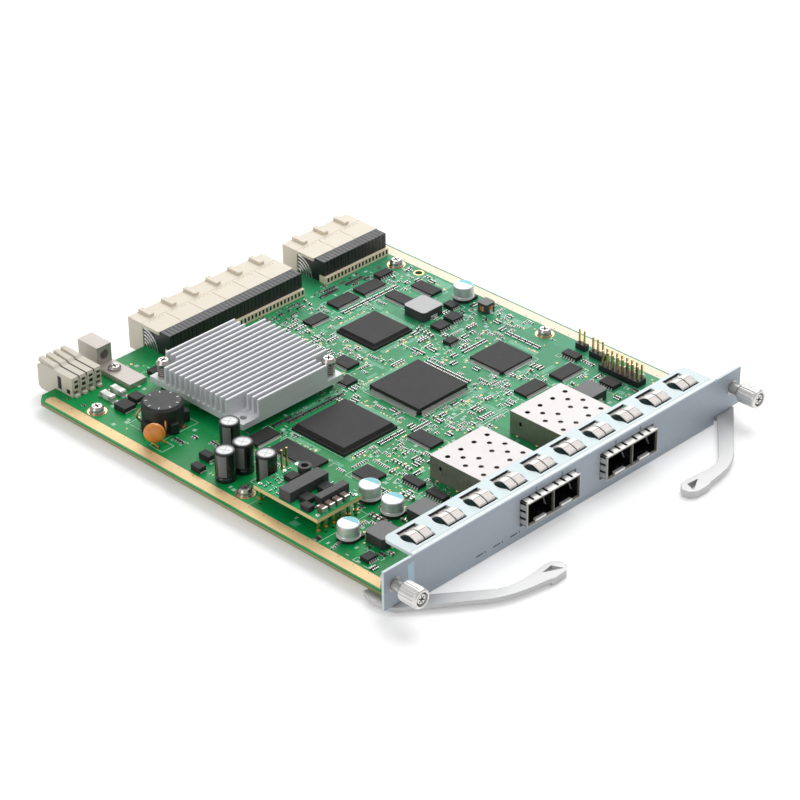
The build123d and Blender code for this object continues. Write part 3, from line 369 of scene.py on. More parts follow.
# Meshes
class Piece:
    """Collects plain closed forms, in card millimetres, into one mesh."""

    def __init__(self):
        self.points, self.faces, self.paints = [], [], []

    def loft(self, rings, paint=0, closed=True):
        count = len(rings[0])
        start = len(self.points)
        for each in rings:
            self.points += each
        for i in range(len(rings) - 1):
            for j in range(count):
                k = (j + 1) % count
                a, b = start + i * count, start + (i + 1) * count
                self.faces.append((a + j, a + k, b + k, b + j))
                self.paints.append(paint)
        if closed:
            self.faces.append(tuple(start + j for j in reversed(range(count))))
            last = start + (len(rings) - 1) * count
            self.faces.append(tuple(last + j for j in range(count)))
            self.paints += [paint, paint]

    def prism(self, outline, low, high, paint=0):
        self.loft([[(x, y, z) for x, y in outline] for z in (low, high)], paint)

    def box(self, x, y, low, high, a, b, turn=0.0, paint=0):
        c, s = cos(turn), sin(turn)
        corners = [(-a / 2, -b / 2), (a / 2, -b / 2), (a / 2, b / 2), (-a / 2, b / 2)]
        self.prism([(x + c * u - s * v, y + s * u + c * v) for u, v in corners], low, high, paint)

    def disc(self, x, y, low, high, radius, sides=12, paint=0):
        self.prism([(x + radius * cos(t), y + radius * sin(t)) for t in turns(sides)], low, high, paint)

    def washer(self, x, y, low, high, inner, outer, sides=16, paint=0):
        def ring(radius, z):
            return [(x + radius * cos(t), y + radius * sin(t), z) for t in turns(sides)]
        self.loft([ring(inner, low), ring(outer, low), ring(outer, high), ring(inner, high), ring(inner, low)],
                  paint, closed=False)

    def turned(self, x, y, profile, sides=24, paint=0, closed=True):
        rings = [[(x + r * cos(t), y + r * sin(t), z) for t in turns(sides)] for r, z in profile]
        self.loft(rings, paint, closed)

    def tube(self, path, radius, sides=8, paint=0):
        rings = []
        path = [Vector(p) for p in path]
        side = None
        for i, point in enumerate(path):
            ahead = (path[min(i + 1, len(path) - 1)] - path[max(i - 1, 0)]).normalized()
            if side is None:
                side = ahead.orthogonal().normalized()
            side = (side - ahead * side.dot(ahead)).normalized()
            other = ahead.cross(side)
            rings.append([tuple(point + (side * cos(t) + other * sin(t)) * radius) for t in turns(sides)])
        self.loft(rings, paint)

    def line(self, start, end, width, low, high, paint=0):
        """A flat strip on the board from one place to another."""
        length = hypot(end[0] - start[0], end[1] - start[1])
        turn = atan2(end[1] - start[1], end[0] - start[0])
        self.box((start[0] + end[0]) / 2, (start[1] + end[1]) / 2, low, high, length, width, turn, paint)

    def make(self, name, paints, body="card", slot=None, bevel=0.0, smooth=False):
        mesh = bpy.data.meshes.new(name)
        mesh.from_pydata([metres(*p) for p in self.points], [], self.faces)
        for paint in paints:
            mesh.materials.append(finish[paint])
        mesh.polygons.foreach_set("material_index", self.paints)
        if smooth:
            mesh.polygons.foreach_set("use_smooth", [True] * len(mesh.polygons))
        mesh.update()
        item = bpy.data.objects.new(name, mesh)
        bpy.context.scene.collection.objects.link(item)
        if bevel:
            rounding = item.modifiers.new("rounding", "BEVEL")
            rounding.width = bevel / 1000
            rounding.segments = 2
            rounding.limit_method = "ANGLE"
            rounding.angle_limit = radians(40)
        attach(item, body)
        return item


def turns(sides):
    return [2 * pi * i / sides for i in range(sides)]


def solids(name):
    """The box of each separate solid in a CAD node, in card millimetres."""
    mesh = nodes[name].data
    place_of, parent = {}, {}

    def find(key):
        while parent[key] != key:
            parent[key] = parent[parent[key]]
            key = parent[key]
        return key

    keys = []
    for vertex in mesh.vertices:
        key = tuple(round(c * 1e6) for c in vertex.co)
        keys.append(key)
        parent.setdefault(key, key)
        place_of[key] = (vertex.co.x * 1000, vertex.co.y * 1000 - FRONT, vertex.co.z * 1000)
    for polygon in mesh.polygons:
        first = find(keys[polygon.vertices[0]])
        for index in polygon.vertices[1:]:
            parent[find(keys[index])] = first
    groups = {}
    for key, place in place_of.items():
        groups.setdefault(find(key), []).append(place)
    boxes = [
        (tuple(min(p[i] for p in points) for i in range(3)), tuple(max(p[i] for p in points) for i in range(3)))
        for points in groups.values()
    ]
    return sorted(boxes)


def middle(box):
    return tuple((box[0][i] + box[1][i]) / 2 for i in range(3))


# What already stands on the board, so that small parts keep clear of it
taken = []


def claim(x, y, a, b, margin=0.0):
    taken.append((x - a / 2 - margin, y - b / 2 - margin, x + a / 2 + margin, y + b / 2 + margin))


def is_free(x, y, a, b):
    low_x, low_y, high_x, high_y = x - a / 2, y - b / 2, x + a / 2, y + b / 2
    if abs(x) > 84.6 or y < 2.5 or y > 193:
        return False
    return not any(low_x < t[2] and high_x > t[0] and low_y < t[3] and high_y > t[1] for t in taken)


standing = [
    "sfp_cage_left", "sfp_cage_right", "wide_connector_wafers", "narrow_connector_wafers", "connector_combs",
    "power_connector_housing", "guide_socket", "choke_case", "disc_varistor", "electrolytic_sleeves", "fuses",
    "power_diodes", "can_capacitor_bases", "array_chips", "flat_chips", "memory_chips", "small_chips", "chip_leads",
    "power_inductors", "pin_header_blocks", "screw_washers", "panel_brackets", "cooled_chip", "lever_pivots",
    "converter_pins",
]
for name in standing:
    for low, high in solids(name):
        claim((low[0] + high[0]) / 2, (low[1] + high[1]) / 2, high[0] - low[0], high[1] - low[1], 0.5)

# Gull-wing leads of the chips, one by one
chips = solids("memory_chips") + solids("small_chips") + solids("flat_chips")
leads = Piece()
for low, high in solids("chip_leads"):
    x, y, _ = middle((low, high))
    a, b = high[0] - low[0], high[1] - low[1]
    along = 0 if a > b else 1
    chip = min(chips, key=lambda c: hypot(max(c[0][0] - x, 0, x - c[1][0]), max(c[0][1] - y, 0, y - c[1][1])))
    flat = chip[1][0] - chip[0][0] > 15
    small = chip[1][2] > 7.5 and not flat
    pitch = 0.55 if flat else (1.27 if small else 0.65)
    if small and max(a, b) < 4.5:
        pitch = 0.95
    length = max(a, b)
    count = max(2, int(length / pitch) + 1)
    out = 1 if (y if along == 0 else x) > middle(chip)[1 - along] else -1
    edge = chip[1][1 - along] if out > 0 else chip[0][1 - along]
    reach = min(a, b)
    width = pitch * (0.40 if small else 0.56)
    shoulder = BOARD_TOP + (chip[1][2] - BOARD_TOP) * 0.5
    start = (x if along == 0 else y) - (count - 1) * pitch / 2
    for i in range(count):
        place = start + i * pitch
        for near, far, bottom, top in (
            (-0.05, reach * 0.42, shoulder - 0.15, shoulder), (reach * 0.3, reach * 0.46, BOARD_TOP + 0.15, shoulder),
            (reach * 0.3, reach, BOARD_TOP + 0.02, BOARD_TOP + 0.17),
        ):
            across = edge + out * (near + far) / 2
            if along == 0:
                leads.box(place, across, bottom, top, width, far - near)
            else:
                leads.box(across, place, bottom, top, far - near, width)
lead_rows = leads.make("chip_lead_rows", ["lead_tin"], slot="tin")
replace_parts(lead_rows, "chip_leads")

# Wound springs under the heat sink's screws
coils = Piece()
for low, high in solids("heat_sink_springs"):
    x, y, _ = middle((low, high))
    path = []
    for i in range(6 * 20 + 1):
        t = i / 20
        height = low[2] + 0.3 + (high[2] - low[2] - 0.6) * min(1.0, max(0.0, (t - 0.5) / 5.0))
        path.append((x + 2.15 * cos(2 * pi * t), y + 2.15 * sin(2 * pi * t), height))
    coils.tube(path, 0.3)
spring = coils.make("heat_sink_coils", ["spring_steel"], smooth=True)
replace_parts(spring, "heat_sink_springs")

# Heat sink: a plate with three corner holes and nineteen fins
SINK_X, SINK_Y, SINK_LOW, SINK_BASE, SINK_TOP = -29.5, 142.5, 9.1, 11.6, 18.9
SINK_HALF, HOLE_INSET, CORNER = 26.5, 22.6, 3.9
FINS, FIN = 19, 1.05
sink = Piece()
sink.box(SINK_X, SINK_Y, SINK_LOW, SINK_BASE, 2 * SINK_HALF, 2 * (SINK_HALF - 2 * CORNER))
for flip in (-1, 1):
    sink.box(SINK_X, SINK_Y + flip * HOLE_INSET, SINK_LOW, SINK_BASE, 2 * (SINK_HALF - 2 * CORNER), 2 * CORNER)
sink.box(SINK_X + HOLE_INSET, SINK_Y + HOLE_INSET, SINK_LOW, SINK_BASE, 2 * CORNER, 2 * CORNER)
for sx, sy in ((-1, 1), (1, -1), (-1, -1)):
    hole_x, hole_y = SINK_X + sx * HOLE_INSET, SINK_Y + sy * HOLE_INSET
    inner = [(hole_x + 1.5 * cos(t), hole_y + 1.5 * sin(t)) for t in turns(32)]
    outer = [(hole_x + CORNER * cos(t) / max(abs(cos(t)), abs(sin(t))),
              hole_y + CORNER * sin(t) / max(abs(cos(t)), abs(sin(t)))) for t in turns(32)]
    sink.loft([[(x, y, z) for x, y in ring] for ring, z in
               ((inner, SINK_LOW), (outer, SINK_LOW), (outer, SINK_BASE), (inner, SINK_BASE), (inner, SINK_LOW))], closed=False)
for i in range(FINS):
    y = SINK_Y - SINK_HALF + FIN / 2 + i * (2 * SINK_HALF - FIN) / (FINS - 1)
    reach = SINK_HALF - (8.4 if i < 3 or i >= FINS - 3 else 0.0)
    section = [(-FIN / 2, SINK_BASE - 0.05), (FIN / 2, SINK_BASE - 0.05), (FIN / 2, SINK_TOP - 0.25),
               (FIN / 2 - 0.2, SINK_TOP), (-FIN / 2 + 0.2, SINK_TOP), (-FIN / 2, SINK_TOP - 0.25)]
    sink.loft([[(SINK_X + end * reach, y + off, z) for off, z in section] for end in (-1, 1)])
    # a lighter strip on each fin's top: painted highlight
    sink.box(SINK_X, y, SINK_TOP, SINK_TOP + 0.02, 2 * reach - 0.2, FIN - 0.42, paint=1)
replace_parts(sink.make("finned_sink", ["sink_aluminium", "painted_fin_top_highlight"]), "heat_sink")

# Ground strips along the board's side edges, above and below
# the right strips take a paler cream copy of the gold: painted reflection of the lamps
for side, strip_name, strip_finish in ((-1, "left_ground_strips", "strip_gold"), (1, "right_ground_strips", "painted_reflection_cream")):
    strips = Piece()
    for low, high in ((BOARD_TOP + 0.005, BOARD_TOP + 0.05), (BOARD_BOTTOM - 0.05, BOARD_BOTTOM - 0.005)):
        inner, outer = side * (BOARD_EDGE - 5.6), side * (BOARD_EDGE - 0.8)
        outline = [(inner, 3.0), (outer, 3.0), (outer, BOARD_BACK - 5.0), (inner * 0.3 + outer * 0.7, BOARD_BACK - 3.7),
                   (inner * 0.7 + outer * 0.3, BOARD_BACK - 3.7), (inner, BOARD_BACK - 5.0)]
        strips.prism(outline if side > 0 else outline[::-1], low, high)
    strips.make(strip_name, [strip_finish], slot="gold")
strip_holes = Piece()
for side in (-1, 1):
    for i in range(24):
        # dark dots for the holes along the strips: painted shade
        strip_holes.disc(side * (BOARD_EDGE - 4.6), 10 + i * 7.7, BOARD_TOP + 0.04, BOARD_TOP + 0.07, 0.22, 8)
        claim(side * (BOARD_EDGE - 3.4), 10 + i * 7.7, 5.6, 7.8)
strip_holes.make("ground_strip_holes", ["painted_hole_shade"], slot="black_plastic")

# Plated rings under the screws and round the empty hole
rings = Piece()
for low, high in solids("screw_washers"):
    x, y, _ = middle((low, high))
    rings.washer(x, y, BOARD_TOP + 0.005, BOARD_TOP + 0.07, 1.62, 3.9, 32)
rings.washer(82.9, 159.0, BOARD_TOP + 0.005, BOARD_TOP + 0.07, 1.6, 2.3, 28)
claim(82.9, 159.0, 5.4, 5.4)
for low, high in solids("board_nuts"):
    x, y, _ = middle((low, high))
    rings.washer(x, y, BOARD_BOTTOM - 0.07, BOARD_BOTTOM - 0.005, 1.62, 3.9, 32)
rings.make("plated_rings", ["pad_gold"], slot="gold")

# Cross recesses in the pan-head screws, drawn as dark crosses on the heads: painted shade
cross_shade = Piece()
for name, top in (("board_screws", 8.4), ("heat_sink_screws", 18.9), ("bracket_screws", 8.8), ("guide_socket_screw", 9.4)):
    for low, high in solids(name):
        x, y, _ = middle((low, high))
        turn = radians(20 + 25 * (round(x) % 4))
        for quarter in (0, pi / 2):
            cross_shade.box(x, y, top - 0.02, top + 0.03, 3.0, 0.62, turn + quarter)
cross_shade.make("screw_cross_painted_shade", ["painted_hole_shade"], slot="black_plastic")


# Small surface-mount parts
class Scatter:
    def __init__(self):
        self.body, self.ends, self.silk, self.pads = Piece(), Piece(), Piece(), Piece()

    def part(self, x, y, turn, kind):
        length, width, height, paint = {
            "r2": (1.0, 0.55, 0.38, 0), "c2": (1.0, 0.55, 0.5, 1), "r3": (1.6, 0.85, 0.48, 0), "c3": (1.6, 0.85, 0.8, 1),
            "c5": (2.0, 1.25, 1.0, 1), "c6": (3.2, 1.6, 1.2, 1), "r6": (3.2, 1.6, 0.6, 0),
        }[kind]
        end = length * 0.24
        c, s = cos(turn), sin(turn)
        low = BOARD_TOP + 0.04
        self.body.box(x, y, low, low + height - 0.02, length - 2 * end, width - 0.04, turn, paint)
        for flip in (-1, 1):
            shift = flip * (length - end) / 2
            self.ends.box(x + c * shift, y + s * shift, low, low + height, end, width, turn)
            reach = flip * (length / 2 + 0.06)
            self.pads.box(x + c * reach, y + s * reach, BOARD_TOP + 0.005, BOARD_TOP + 0.06, 0.55, width + 0.1, turn)

    def array(self, x, y, turn):
        """Four resistors in one body, with four pads on each long side."""
        c, s = cos(turn), sin(turn)
        self.body.box(x, y, BOARD_TOP + 0.04, BOARD_TOP + 0.5, 3.0, 1.0, turn, 0)
        for i in range(4):
            along = (i - 1.5) * 0.8
            for flip in (-1, 1):
                off = flip * 0.75
                self.ends.box(x + c * along - s * off, y + s * along + c * off, BOARD_TOP + 0.01, BOARD_TOP + 0.46,
                              0.45, 0.6, turn)

    def row(self, start, end, kind, pitch, turn=None):
        length = hypot(end[0] - start[0], end[1] - start[1])
        direction = atan2(end[1] - start[1], end[0] - start[0])
        count = max(1, int(round(length / pitch)))
        for i in range(count):
            share = (i + 0.5) / count
            x, y = start[0] + (end[0] - start[0]) * share, start[1] + (end[1] - start[1]) * share
            if not is_free(x, y, 0.8, 0.8):
                continue
            if kind == "array":
                self.array(x, y, direction)
            else:
                self.part(x, y, direction + (pi / 2 if turn is None else turn), kind)
        claim((start[0] + end[0]) / 2, (start[1] + end[1]) / 2, abs(end[0] - start[0]) + 1.8, abs(end[1] - start[1]) + 1.8)


small = Scatter()
tracks, vias, via_holes = Piece(), Piece(), Piece()


def comb(start, end, depth, pitch=0.62, paint=0, force=False):
    """A bundle of short tracks side by side; depth is how far they run, to the left of start-end."""
    length = hypot(end[0] - start[0], end[1] - start[1])
    u = ((end[0] - start[0]) / length, (end[1] - start[1]) / length)
    v = (-u[1], u[0])
    for i in range(int(length / pitch) + 1):
        x, y = start[0] + u[0] * i * pitch, start[1] + u[1] * i * pitch
        reach = depth * (1 - 0.25 * draw.random())
        far = (x + v[0] * reach, y + v[1] * reach)
        mid = ((x + far[0]) / 2, (y + far[1]) / 2)
        if force or is_free(mid[0], mid[1], max(0.3, abs(far[0] - x)), max(0.3, abs(far[1] - y))):
            tracks.line((x, y), far, 0.27, BOARD_TOP + 0.003, BOARD_TOP + 0.03, paint)
            if draw.random() < 0.3:
                via(far[0], far[1])


def via(x, y, radius=0.34):
    vias.disc(x, y, BOARD_TOP + 0.003, BOARD_TOP + 0.035, radius, 8)
    # dark dot in the middle of the via: painted shade in its hole
    via_holes.disc(x, y, BOARD_TOP + 0.02, BOARD_TOP + 0.045, radius * 0.48, 6)


# Rows of resistor arrays and small parts seen in the photograph
for start, end in (((36.9, 157.2), (69.0, 157.2)), ((54.6, 173.2), (64.2, 173.2)), ((39.4, 173.2), (49.9, 173.2)),
                   ((-49.7, 113.8), (-32.7, 113.8)), ((-37.0, 111.6), (-7.0, 111.6)), ((-54.6, 105.2), (-44.8, 105.2)),
                   ((-24.1, 75.6), (-10.1, 75.6)), ((-8.7, 73.0), (0.9, 73.0)), ((32.5, 106.2), (32.5, 82.2)),
                   ((47.5, 100.2), (61.3, 100.2)), ((71.2, 98.9), (71.2, 80.2)), ((36.0, 117.4), (36.0, 110.0))):
    small.row(start, end, "array", 3.55)
for start, end, kind, pitch in (
    ((-32.9, 69.4), (-33.4, 61.0), "r2", 1.1), ((-42.6, 71.0), (-34.5, 71.0), "r2", 1.1),
    ((-28.4, 64.5), (-28.4, 53.6), "c3", 1.7), ((-42.5, 38.6), (-42.5, 46.2), "c5", 2.4),
    ((-43.5, 33.6), (-43.5, 23.6), "c3", 1.9), ((-60.2, 44.4), (-60.2, 33.0), "c5", 2.2),
    ((-61.5, 30.5), (-61.5, 21.0), "c3", 1.8), ((-55.6, 31.8), (-52.0, 34.0), "c5", 2.6),
    ((-84.4, 45.6), (-84.4, 47.0), "r6", 2.0), ((-58.4, 60.0), (-58.4, 76.0), "c3", 1.9),
    ((64.0, 127.6), (73.0, 127.6), "r3", 1.5), ((48.6, 127.0), (48.6, 117.0), "c3", 1.9),
):
    small.row(start, end, kind, pitch)

for start, end, depth in (
    ((32.3, 153.9), (58.0, 153.9), 2.6), ((36.0, 120.8), (44.0, 120.8), 4.4), ((84.8, 141.0), (84.8, 150.5), 5.0),
    ((82.6, 95.0), (82.6, 115.0), 4.6), ((-23.3, 77.6), (-9.6, 77.6), 2.4), ((-41.3, 88.8), (-41.3, 109.0), 3.0),
    ((-34.2, 59.6), (-34.2, 69.0), 3.2), ((-7.0, 113.6), (-37.0, 113.6), -2.2), ((0.2, 107.4), (28.0, 107.4), 2.8),
    ((30.0, 79.0), (2.0, 79.0), 3.4), ((30.0, 105.0), (30.0, 82.0), 2.0), ((23.6, 128.0), (23.6, 147.0), 3.6),
    ((46.6, 147.6), (46.6, 129.0), 3.4), ((45.0, 78.4), (45.0, 94.0), 3.0), ((63.6, 94.0), (63.6, 78.0), 3.0),
    ((62.0, 76.4), (47.0, 76.4), 2.6), ((-39.8, 78.6), (-39.8, 74.6), 2.4), ((57.0, 55.6), (70.0, 55.6), -3.0),
    ((39.0, 57.0), (51.5, 57.0), -3.0), ((53.2, 161.0), (66.0, 161.0), -2.6), ((38.0, 160.8), (50.0, 160.8), -2.4),
):
    comb(start, end, depth)


for name in ("array_chips", "flat_chips"):
    for low, high in solids(name):
        gap = 1.5 if name == "array_chips" else 3.0
        comb((high[0] + gap, high[1] - 1.5), (high[0] + gap, low[1] + 1.5), 2.8)
        comb((low[0] + 1.5, high[1] + gap), (high[0] - 1.5, high[1] + gap), 2.8)
        comb((high[0] - 1.5, low[1] - gap), (low[0] + 1.5, low[1] - gap), 2.8)
        claim(high[0] + gap + 1.4, (low[1] + high[1]) / 2, 2.6, (high[1] - low[1]) * 0.6)
        claim((low[0] + high[0]) / 2, high[1] + gap + 1.4, (high[0] - low[0]) * 0.6, 2.6)


def scatter(x0, y0, x1, y1, tries, kinds="r2 c2 r3 c3 array track via silk"):
    """Short rows of small parts, tracks and vias at free places in a field of the board."""
    kinds = kinds.split()
    for _ in range(tries):
        x = round(draw.uniform(x0, x1) / 0.5) * 0.5
        y = round(draw.uniform(y0, y1) / 0.5) * 0.5
        kind = draw.choice(kinds)
        upright = draw.random() < 0.5
        if kind in ("r2", "c2", "r3", "c3", "c5"):
            count = draw.choice((1, 2, 2, 3, 4, 5))
            pitch = {"r2": 1.0, "c2": 1.0, "r3": 1.35, "c3": 1.35, "c5": 1.9}[kind]
            long_side = count * pitch
            short_side = {"2": 2.0, "3": 2.6, "5": 3.0}[kind[1]]
            a, b = (short_side, long_side) if upright else (long_side, short_side)
            if not is_free(x, y, a, b):
                continue
            for i in range(count):
                shift = (i - (count - 1) / 2) * pitch
                small.part(x + (0 if upright else shift), y + (shift if upright else 0), 0 if upright else pi / 2, kind)
            claim(x, y, a, b)
            if draw.random() < 0.45:
                outline(x, y, a + 0.2, b + 0.2, corners=True)
        elif kind == "array":
            a, b = (2.4, 3.4) if upright else (3.4, 2.4)
            if is_free(x, y, a, b):
                small.array(x, y, pi / 2 if upright else 0)
                claim(x, y, a, b)
        elif kind == "track":
            length = draw.uniform(3, 10)
            a, b = (2.6, length) if upright else (length, 2.6)
            if is_free(x, y, a, b):
                for i in range(draw.choice((3, 4, 5))):
                    shift = (i - 2) * 0.6
                    first = (x + shift, y - length / 2) if upright else (x - length / 2, y + shift)
                    last = (x + shift, y + length / 2) if upright else (x + length / 2, y + shift)
                    tracks.line(first, last, 0.24, BOARD_TOP + 0.003, BOARD_TOP + 0.03)
                claim(x, y, a, b)
        elif kind == "via":
            if is_free(x, y, 0.9, 0.9):
                via(x, y, draw.choice((0.3, 0.34, 0.5)))
                claim(x, y, 0.8, 0.8)
        elif kind == "silk":
            a, b = (0.3, 1.6) if upright else (1.6, 0.3)
            if is_free(x, y, a + 0.6, b + 0.6):
                for i in range(draw.choice((1, 2, 3))):
                    small.silk.box(x + (i * 0.55 if upright else 0), y + (0 if upright else i * 0.55),
                                   BOARD_TOP + 0.003, BOARD_TOP + 0.03, a, b)
                claim(x, y, a + 1.2, b + 1.2)


def outline(x, y, a, b, width=0.17, corners=False):
    """A printed rectangle, or only its corners, round a place."""
    low, high = BOARD_TOP + 0.003, BOARD_TOP + 0.03
    if corners:
        reach = min(a, b) * 0.3
        for sx in (-1, 1):
            for sy in (-1, 1):
                small.silk.box(x + sx * (a - reach) / 2, y + sy * b / 2, low, high, reach, width)
                small.silk.box(x + sx * a / 2, y + sy * (b - reach) / 2, low, high, width, reach)
    else:
        for flip in (-1, 1):
            small.silk.box(x, y + flip * b / 2, low, high, a + width, width)
            small.silk.box(x + flip * a / 2, y, low, high, width, b + width)


for box in [(-69.7, 146.0, 18.8, 18.8), (-81.0, 134.2, 6.0, 7.2), (-73.3, 62.6, 25.6, 36.0), (-70.6, 87.3, 8.8, 8.8)]:
    outline(*box)
for box in [(20.9, 64.5, 32.4, 8.9), (19.6, 57.9, 16.8, 1.6)]:
    outline(*box, width=0.3)
for name in ("array_chips", "flat_chips", "memory_chips", "small_chips"):
    for low, high in solids(name):
        x, y, _ = middle((low, high))
        grow = 1.4 if name == "array_chips" else 3.6
        outline(x, y, high[0] - low[0] + grow, high[1] - low[1] + grow, 0.2, corners=name != "array_chips")

scatter(0, 112, 24, 178, 900)
scatter(-2, 60, 60, 80, 420)
scatter(-34, 52, 0, 76, 420)
scatter(34, 96, 84, 128, 620)
scatter(24, 148, 84, 180, 420)
scatter(-58, 100, -5, 116, 260)
scatter(-44, 70, 62, 112, 420)
scatter(-60, 18, -28, 60, 380)
scatter(40, 20, 84, 70, 380)
scatter(-86, 18, -60, 46, 120)
scatter(-84, 110, -58, 178, 40, "via r3 silk")
scatter(-60, 168, -44, 192, 50, "via r2 silk")
scatter(4, 52, 16, 60, 60)
scatter(-84, 80, -56, 112, 110, "via r2 c3 silk")
scatter(-84, 20, 84, 190, 500, "via via silk r2 track")

small.body.make("small_part_bodies", ["chip_plastic", "ceramic_brown"])
small.ends.make("small_part_ends", ["solder"], slot="tin")
small.pads.make("small_part_pads", ["solder"], slot="tin")
small.silk.make("printed_outlines", ["silk_white"], slot="fuse_white")
tracks.make("board_tracks", ["track_green"], slot="board_green")
vias.make("via_rings", ["pad_gold"], slot="gold")
via_holes.make("via_holes", ["painted_hole_shade"], slot="black_plastic")

# Choke: winding ends, feet and top dimple
choke_x, choke_y = -69.7, 146.0
wires = Piece()
for turn, lift in ((2.5, 7.0), (4.1, 6.0), (0.4, 7.0)):
    out = (cos(turn), sin(turn))
    path = []
    for i in range(9):
        t = i / 8
        reach = 8.2 + 1.9 * sin(pi * min(1, t * 1.2))
        path.append((choke_x + out[0] * reach, choke_y + out[1] * reach, BOARD_TOP + 0.2 + lift * (1 - t)))
    wires.tube(path, 0.42)
wires.make("choke_wires", ["copper"], smooth=True)
feet = Piece()
for turn in (4.47, 5.75, 3.2):
    feet.box(choke_x + 8.6 * cos(turn), choke_y + 8.6 * sin(turn), BOARD_TOP, BOARD_TOP + 4.6, 3.0, 3.4, turn)
feet.make("choke_feet", ["black_plastic"], bevel=0.25)
cover = Piece()
cover.disc(choke_x, choke_y, 15.8, 16.21, 3.2, 40)
cover.make("choke_cover", ["black_plastic"])
dots = Piece()
for i in range(9):
    turn = 0.3 + i * 2 * pi / 9
    dots.box(choke_x + 6.2 * cos(turn), choke_y + 6.2 * sin(turn), 16.19, 16.22, 1.1, 0.4, turn)
dots.make("choke_top_dashes", ["silk_white"], slot="fuse_white")

# Disc varistor, its flat side turned to the card's front left
varistor_at = (-82.4, 136.4, 11.2)
disc = Piece()
disc.loft([[(varistor_at[0] - 0.707 * off + 0.707 * r * cos(t), varistor_at[1] - 0.707 * off - 0.707 * r * cos(t),
             varistor_at[2] + r * sin(t)) for t in turns(32)]
           for off, r in ((-1.4, 2.6), (-1.2, 3.5), (-0.6, 4.05), (0.0, 4.2), (0.6, 4.05), (1.2, 3.5), (1.4, 2.6))])
for flip, leg_x in ((-1, -83.2), (1, -78.8)):
    disc.tube([(leg_x, 133.8, 5.0), (leg_x, 133.8, 6.6),
               (varistor_at[0] + flip * 1.5, varistor_at[1] - flip * 1.5, 8.0),
               (varistor_at[0] + flip * 1.3, varistor_at[1] - flip * 1.3, 9.2)], 0.32, 8)
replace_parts(disc.make("coated_disc", ["orange_coat"], smooth=True), "disc_varistor")

# Electrolytic capacitors: a lighter band down each sleeve's left side as painted highlight, rolled rim and pressed vent
sleeve_highlights, rims, sleeve_edges = Piece(), Piece(), Piece()
for low, high in solids("electrolytic_sleeves"):
    x, y, _ = middle((low, high))
    radius = 4.02
    # the grey band down the sleeve's left side: painted highlight
    for ring_low, ring_high in ((8.6, 17.6),):
        inner, outer = [], []
        for i in range(7):
            t = radians(186 + i * 8)
            inner.append((x + (radius - 0.1) * cos(t), y + (radius - 0.1) * sin(t)))
            outer.append((x + (radius + 0.03) * cos(t), y + (radius + 0.03) * sin(t)))
        sleeve_highlights.prism(outer + inner[::-1], ring_low, ring_high)
    rims.washer(x, y, 18.3, 18.42, 2.75, 3.2, 32)
    sleeve_edges.turned(x, y, [(3.35, 18.39), (3.35, 18.47), (3.8, 18.47), (4.03, 18.2), (4.03, 17.6), (3.9, 17.6), (3.35, 18.39)],
                        36, closed=False)
    for quarter in (0.5, 0.5 + pi / 2):
        rims.box(x, y, 18.29, 18.33, 4.6, 0.22, quarter)
sleeve_highlights.make("electrolytic_painted_highlights", ["inductor_grey"], slot="sleeve_black")
rims.make("electrolytic_vents", ["stripe_grey"], slot="can_aluminium")
sleeve_edges.make("electrolytic_sleeve_edges", ["black_plastic"], slot="sleeve_black")

# Aluminium can capacitors: coloured segment on top, rubber seal and tabs
marks, tabs, seats = Piece(), Piece(), Piece()
for low, high in solids("can_capacitor_bases"):
    x, y, _ = middle((low, high))
    arc = [radians(-62 + i * 12) for i in range(13)]
    marks.prism([(x + 3.75 * cos(t), y + 3.75 * sin(t)) for t in arc], 12.49, 12.53)
    seats.prism([(x + 4.15 * u, y + 4.15 * v) for u, v in ((-0.45, -1), (1, -1), (1, 1), (-0.45, 1), (-1, 0.45), (-1, -0.45))],
                BOARD_TOP + 0.02, 7.25)
    seats.disc(x, y, 7.25, 7.6, 4.5, 36, 1)
    for flip in (-1, 1):
        tabs.box(x + flip * 4.7, y, BOARD_TOP + 0.02, BOARD_TOP + 0.35, 1.8, 1.4)
marks.make("can_capacitor_marks", ["mark_cyan"], slot="can_aluminium")
tabs.make("can_capacitor_tabs", ["tin"])
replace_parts(seats.make("can_capacitor_seats", ["black_plastic", "fuse_white"]), "can_capacitor_bases")

# Inductor terminals and the small wound one's base
terminals, bodies = Piece(), Piece()
for low, high in solids("power_inductors"):
    x, y, _ = middle((low, high))
    large = hypot(x - 59.8, y - 133.8) < 4
    half = (high[0] - low[0]) / 2 * (1.16 if large else 1.0)
    cut = half * (0.82 if large else 0.78)
    octagon = [(x + u * half, y + v * half) for u, v in
               ((-1, -cut / half), (-cut / half, -1), (cut / half, -1), (1, -cut / half), (1, cut / half), (cut / half, 1),
                (-cut / half, 1), (-1, cut / half))]
    bodies.prism(octagon, BOARD_TOP + 0.1, high[2], 0)
    bodies.prism([(x + (u - x) * 0.985, y + (v - y) * 0.985) for u, v in octagon], high[2], high[2] + 0.06, 2 if large else 1)
    for flip in (-1, 1):
        terminals.box(x, y + flip * (half + 0.08), BOARD_TOP + 0.02, BOARD_TOP + 1.6, half * 0.6, 0.35)
        terminals.box(x, y + flip * (half + 0.5), BOARD_TOP + 0.01, BOARD_TOP + 0.25, half * 0.7, 1.0)
terminals.make("inductor_terminals", ["tin"], bevel=0.06)
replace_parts(bodies.make("inductor_bodies", ["core_ferrite", "inductor_grey", "top_grey"], slot="inductor_grey"),
            "power_inductors")
drum_x, drum_y = 79.0, 117.0
drum = Piece()
drum.turned(drum_x, drum_y, [(2.72, 9.35), (2.8, 9.5), (2.8, 10.08), (2.72, 10.12)], 28, 0)
for i in range(5):
    coil = [(drum_x + 2.74 * cos(t), drum_y + 2.74 * sin(t), 6.9 + 0.45 * i) for t in turns(28)]
    drum.tube(coil + coil[:1], 0.24, 6, 1)
drum.make("drum_inductor_winding", ["drum_black", "copper"], smooth=True)

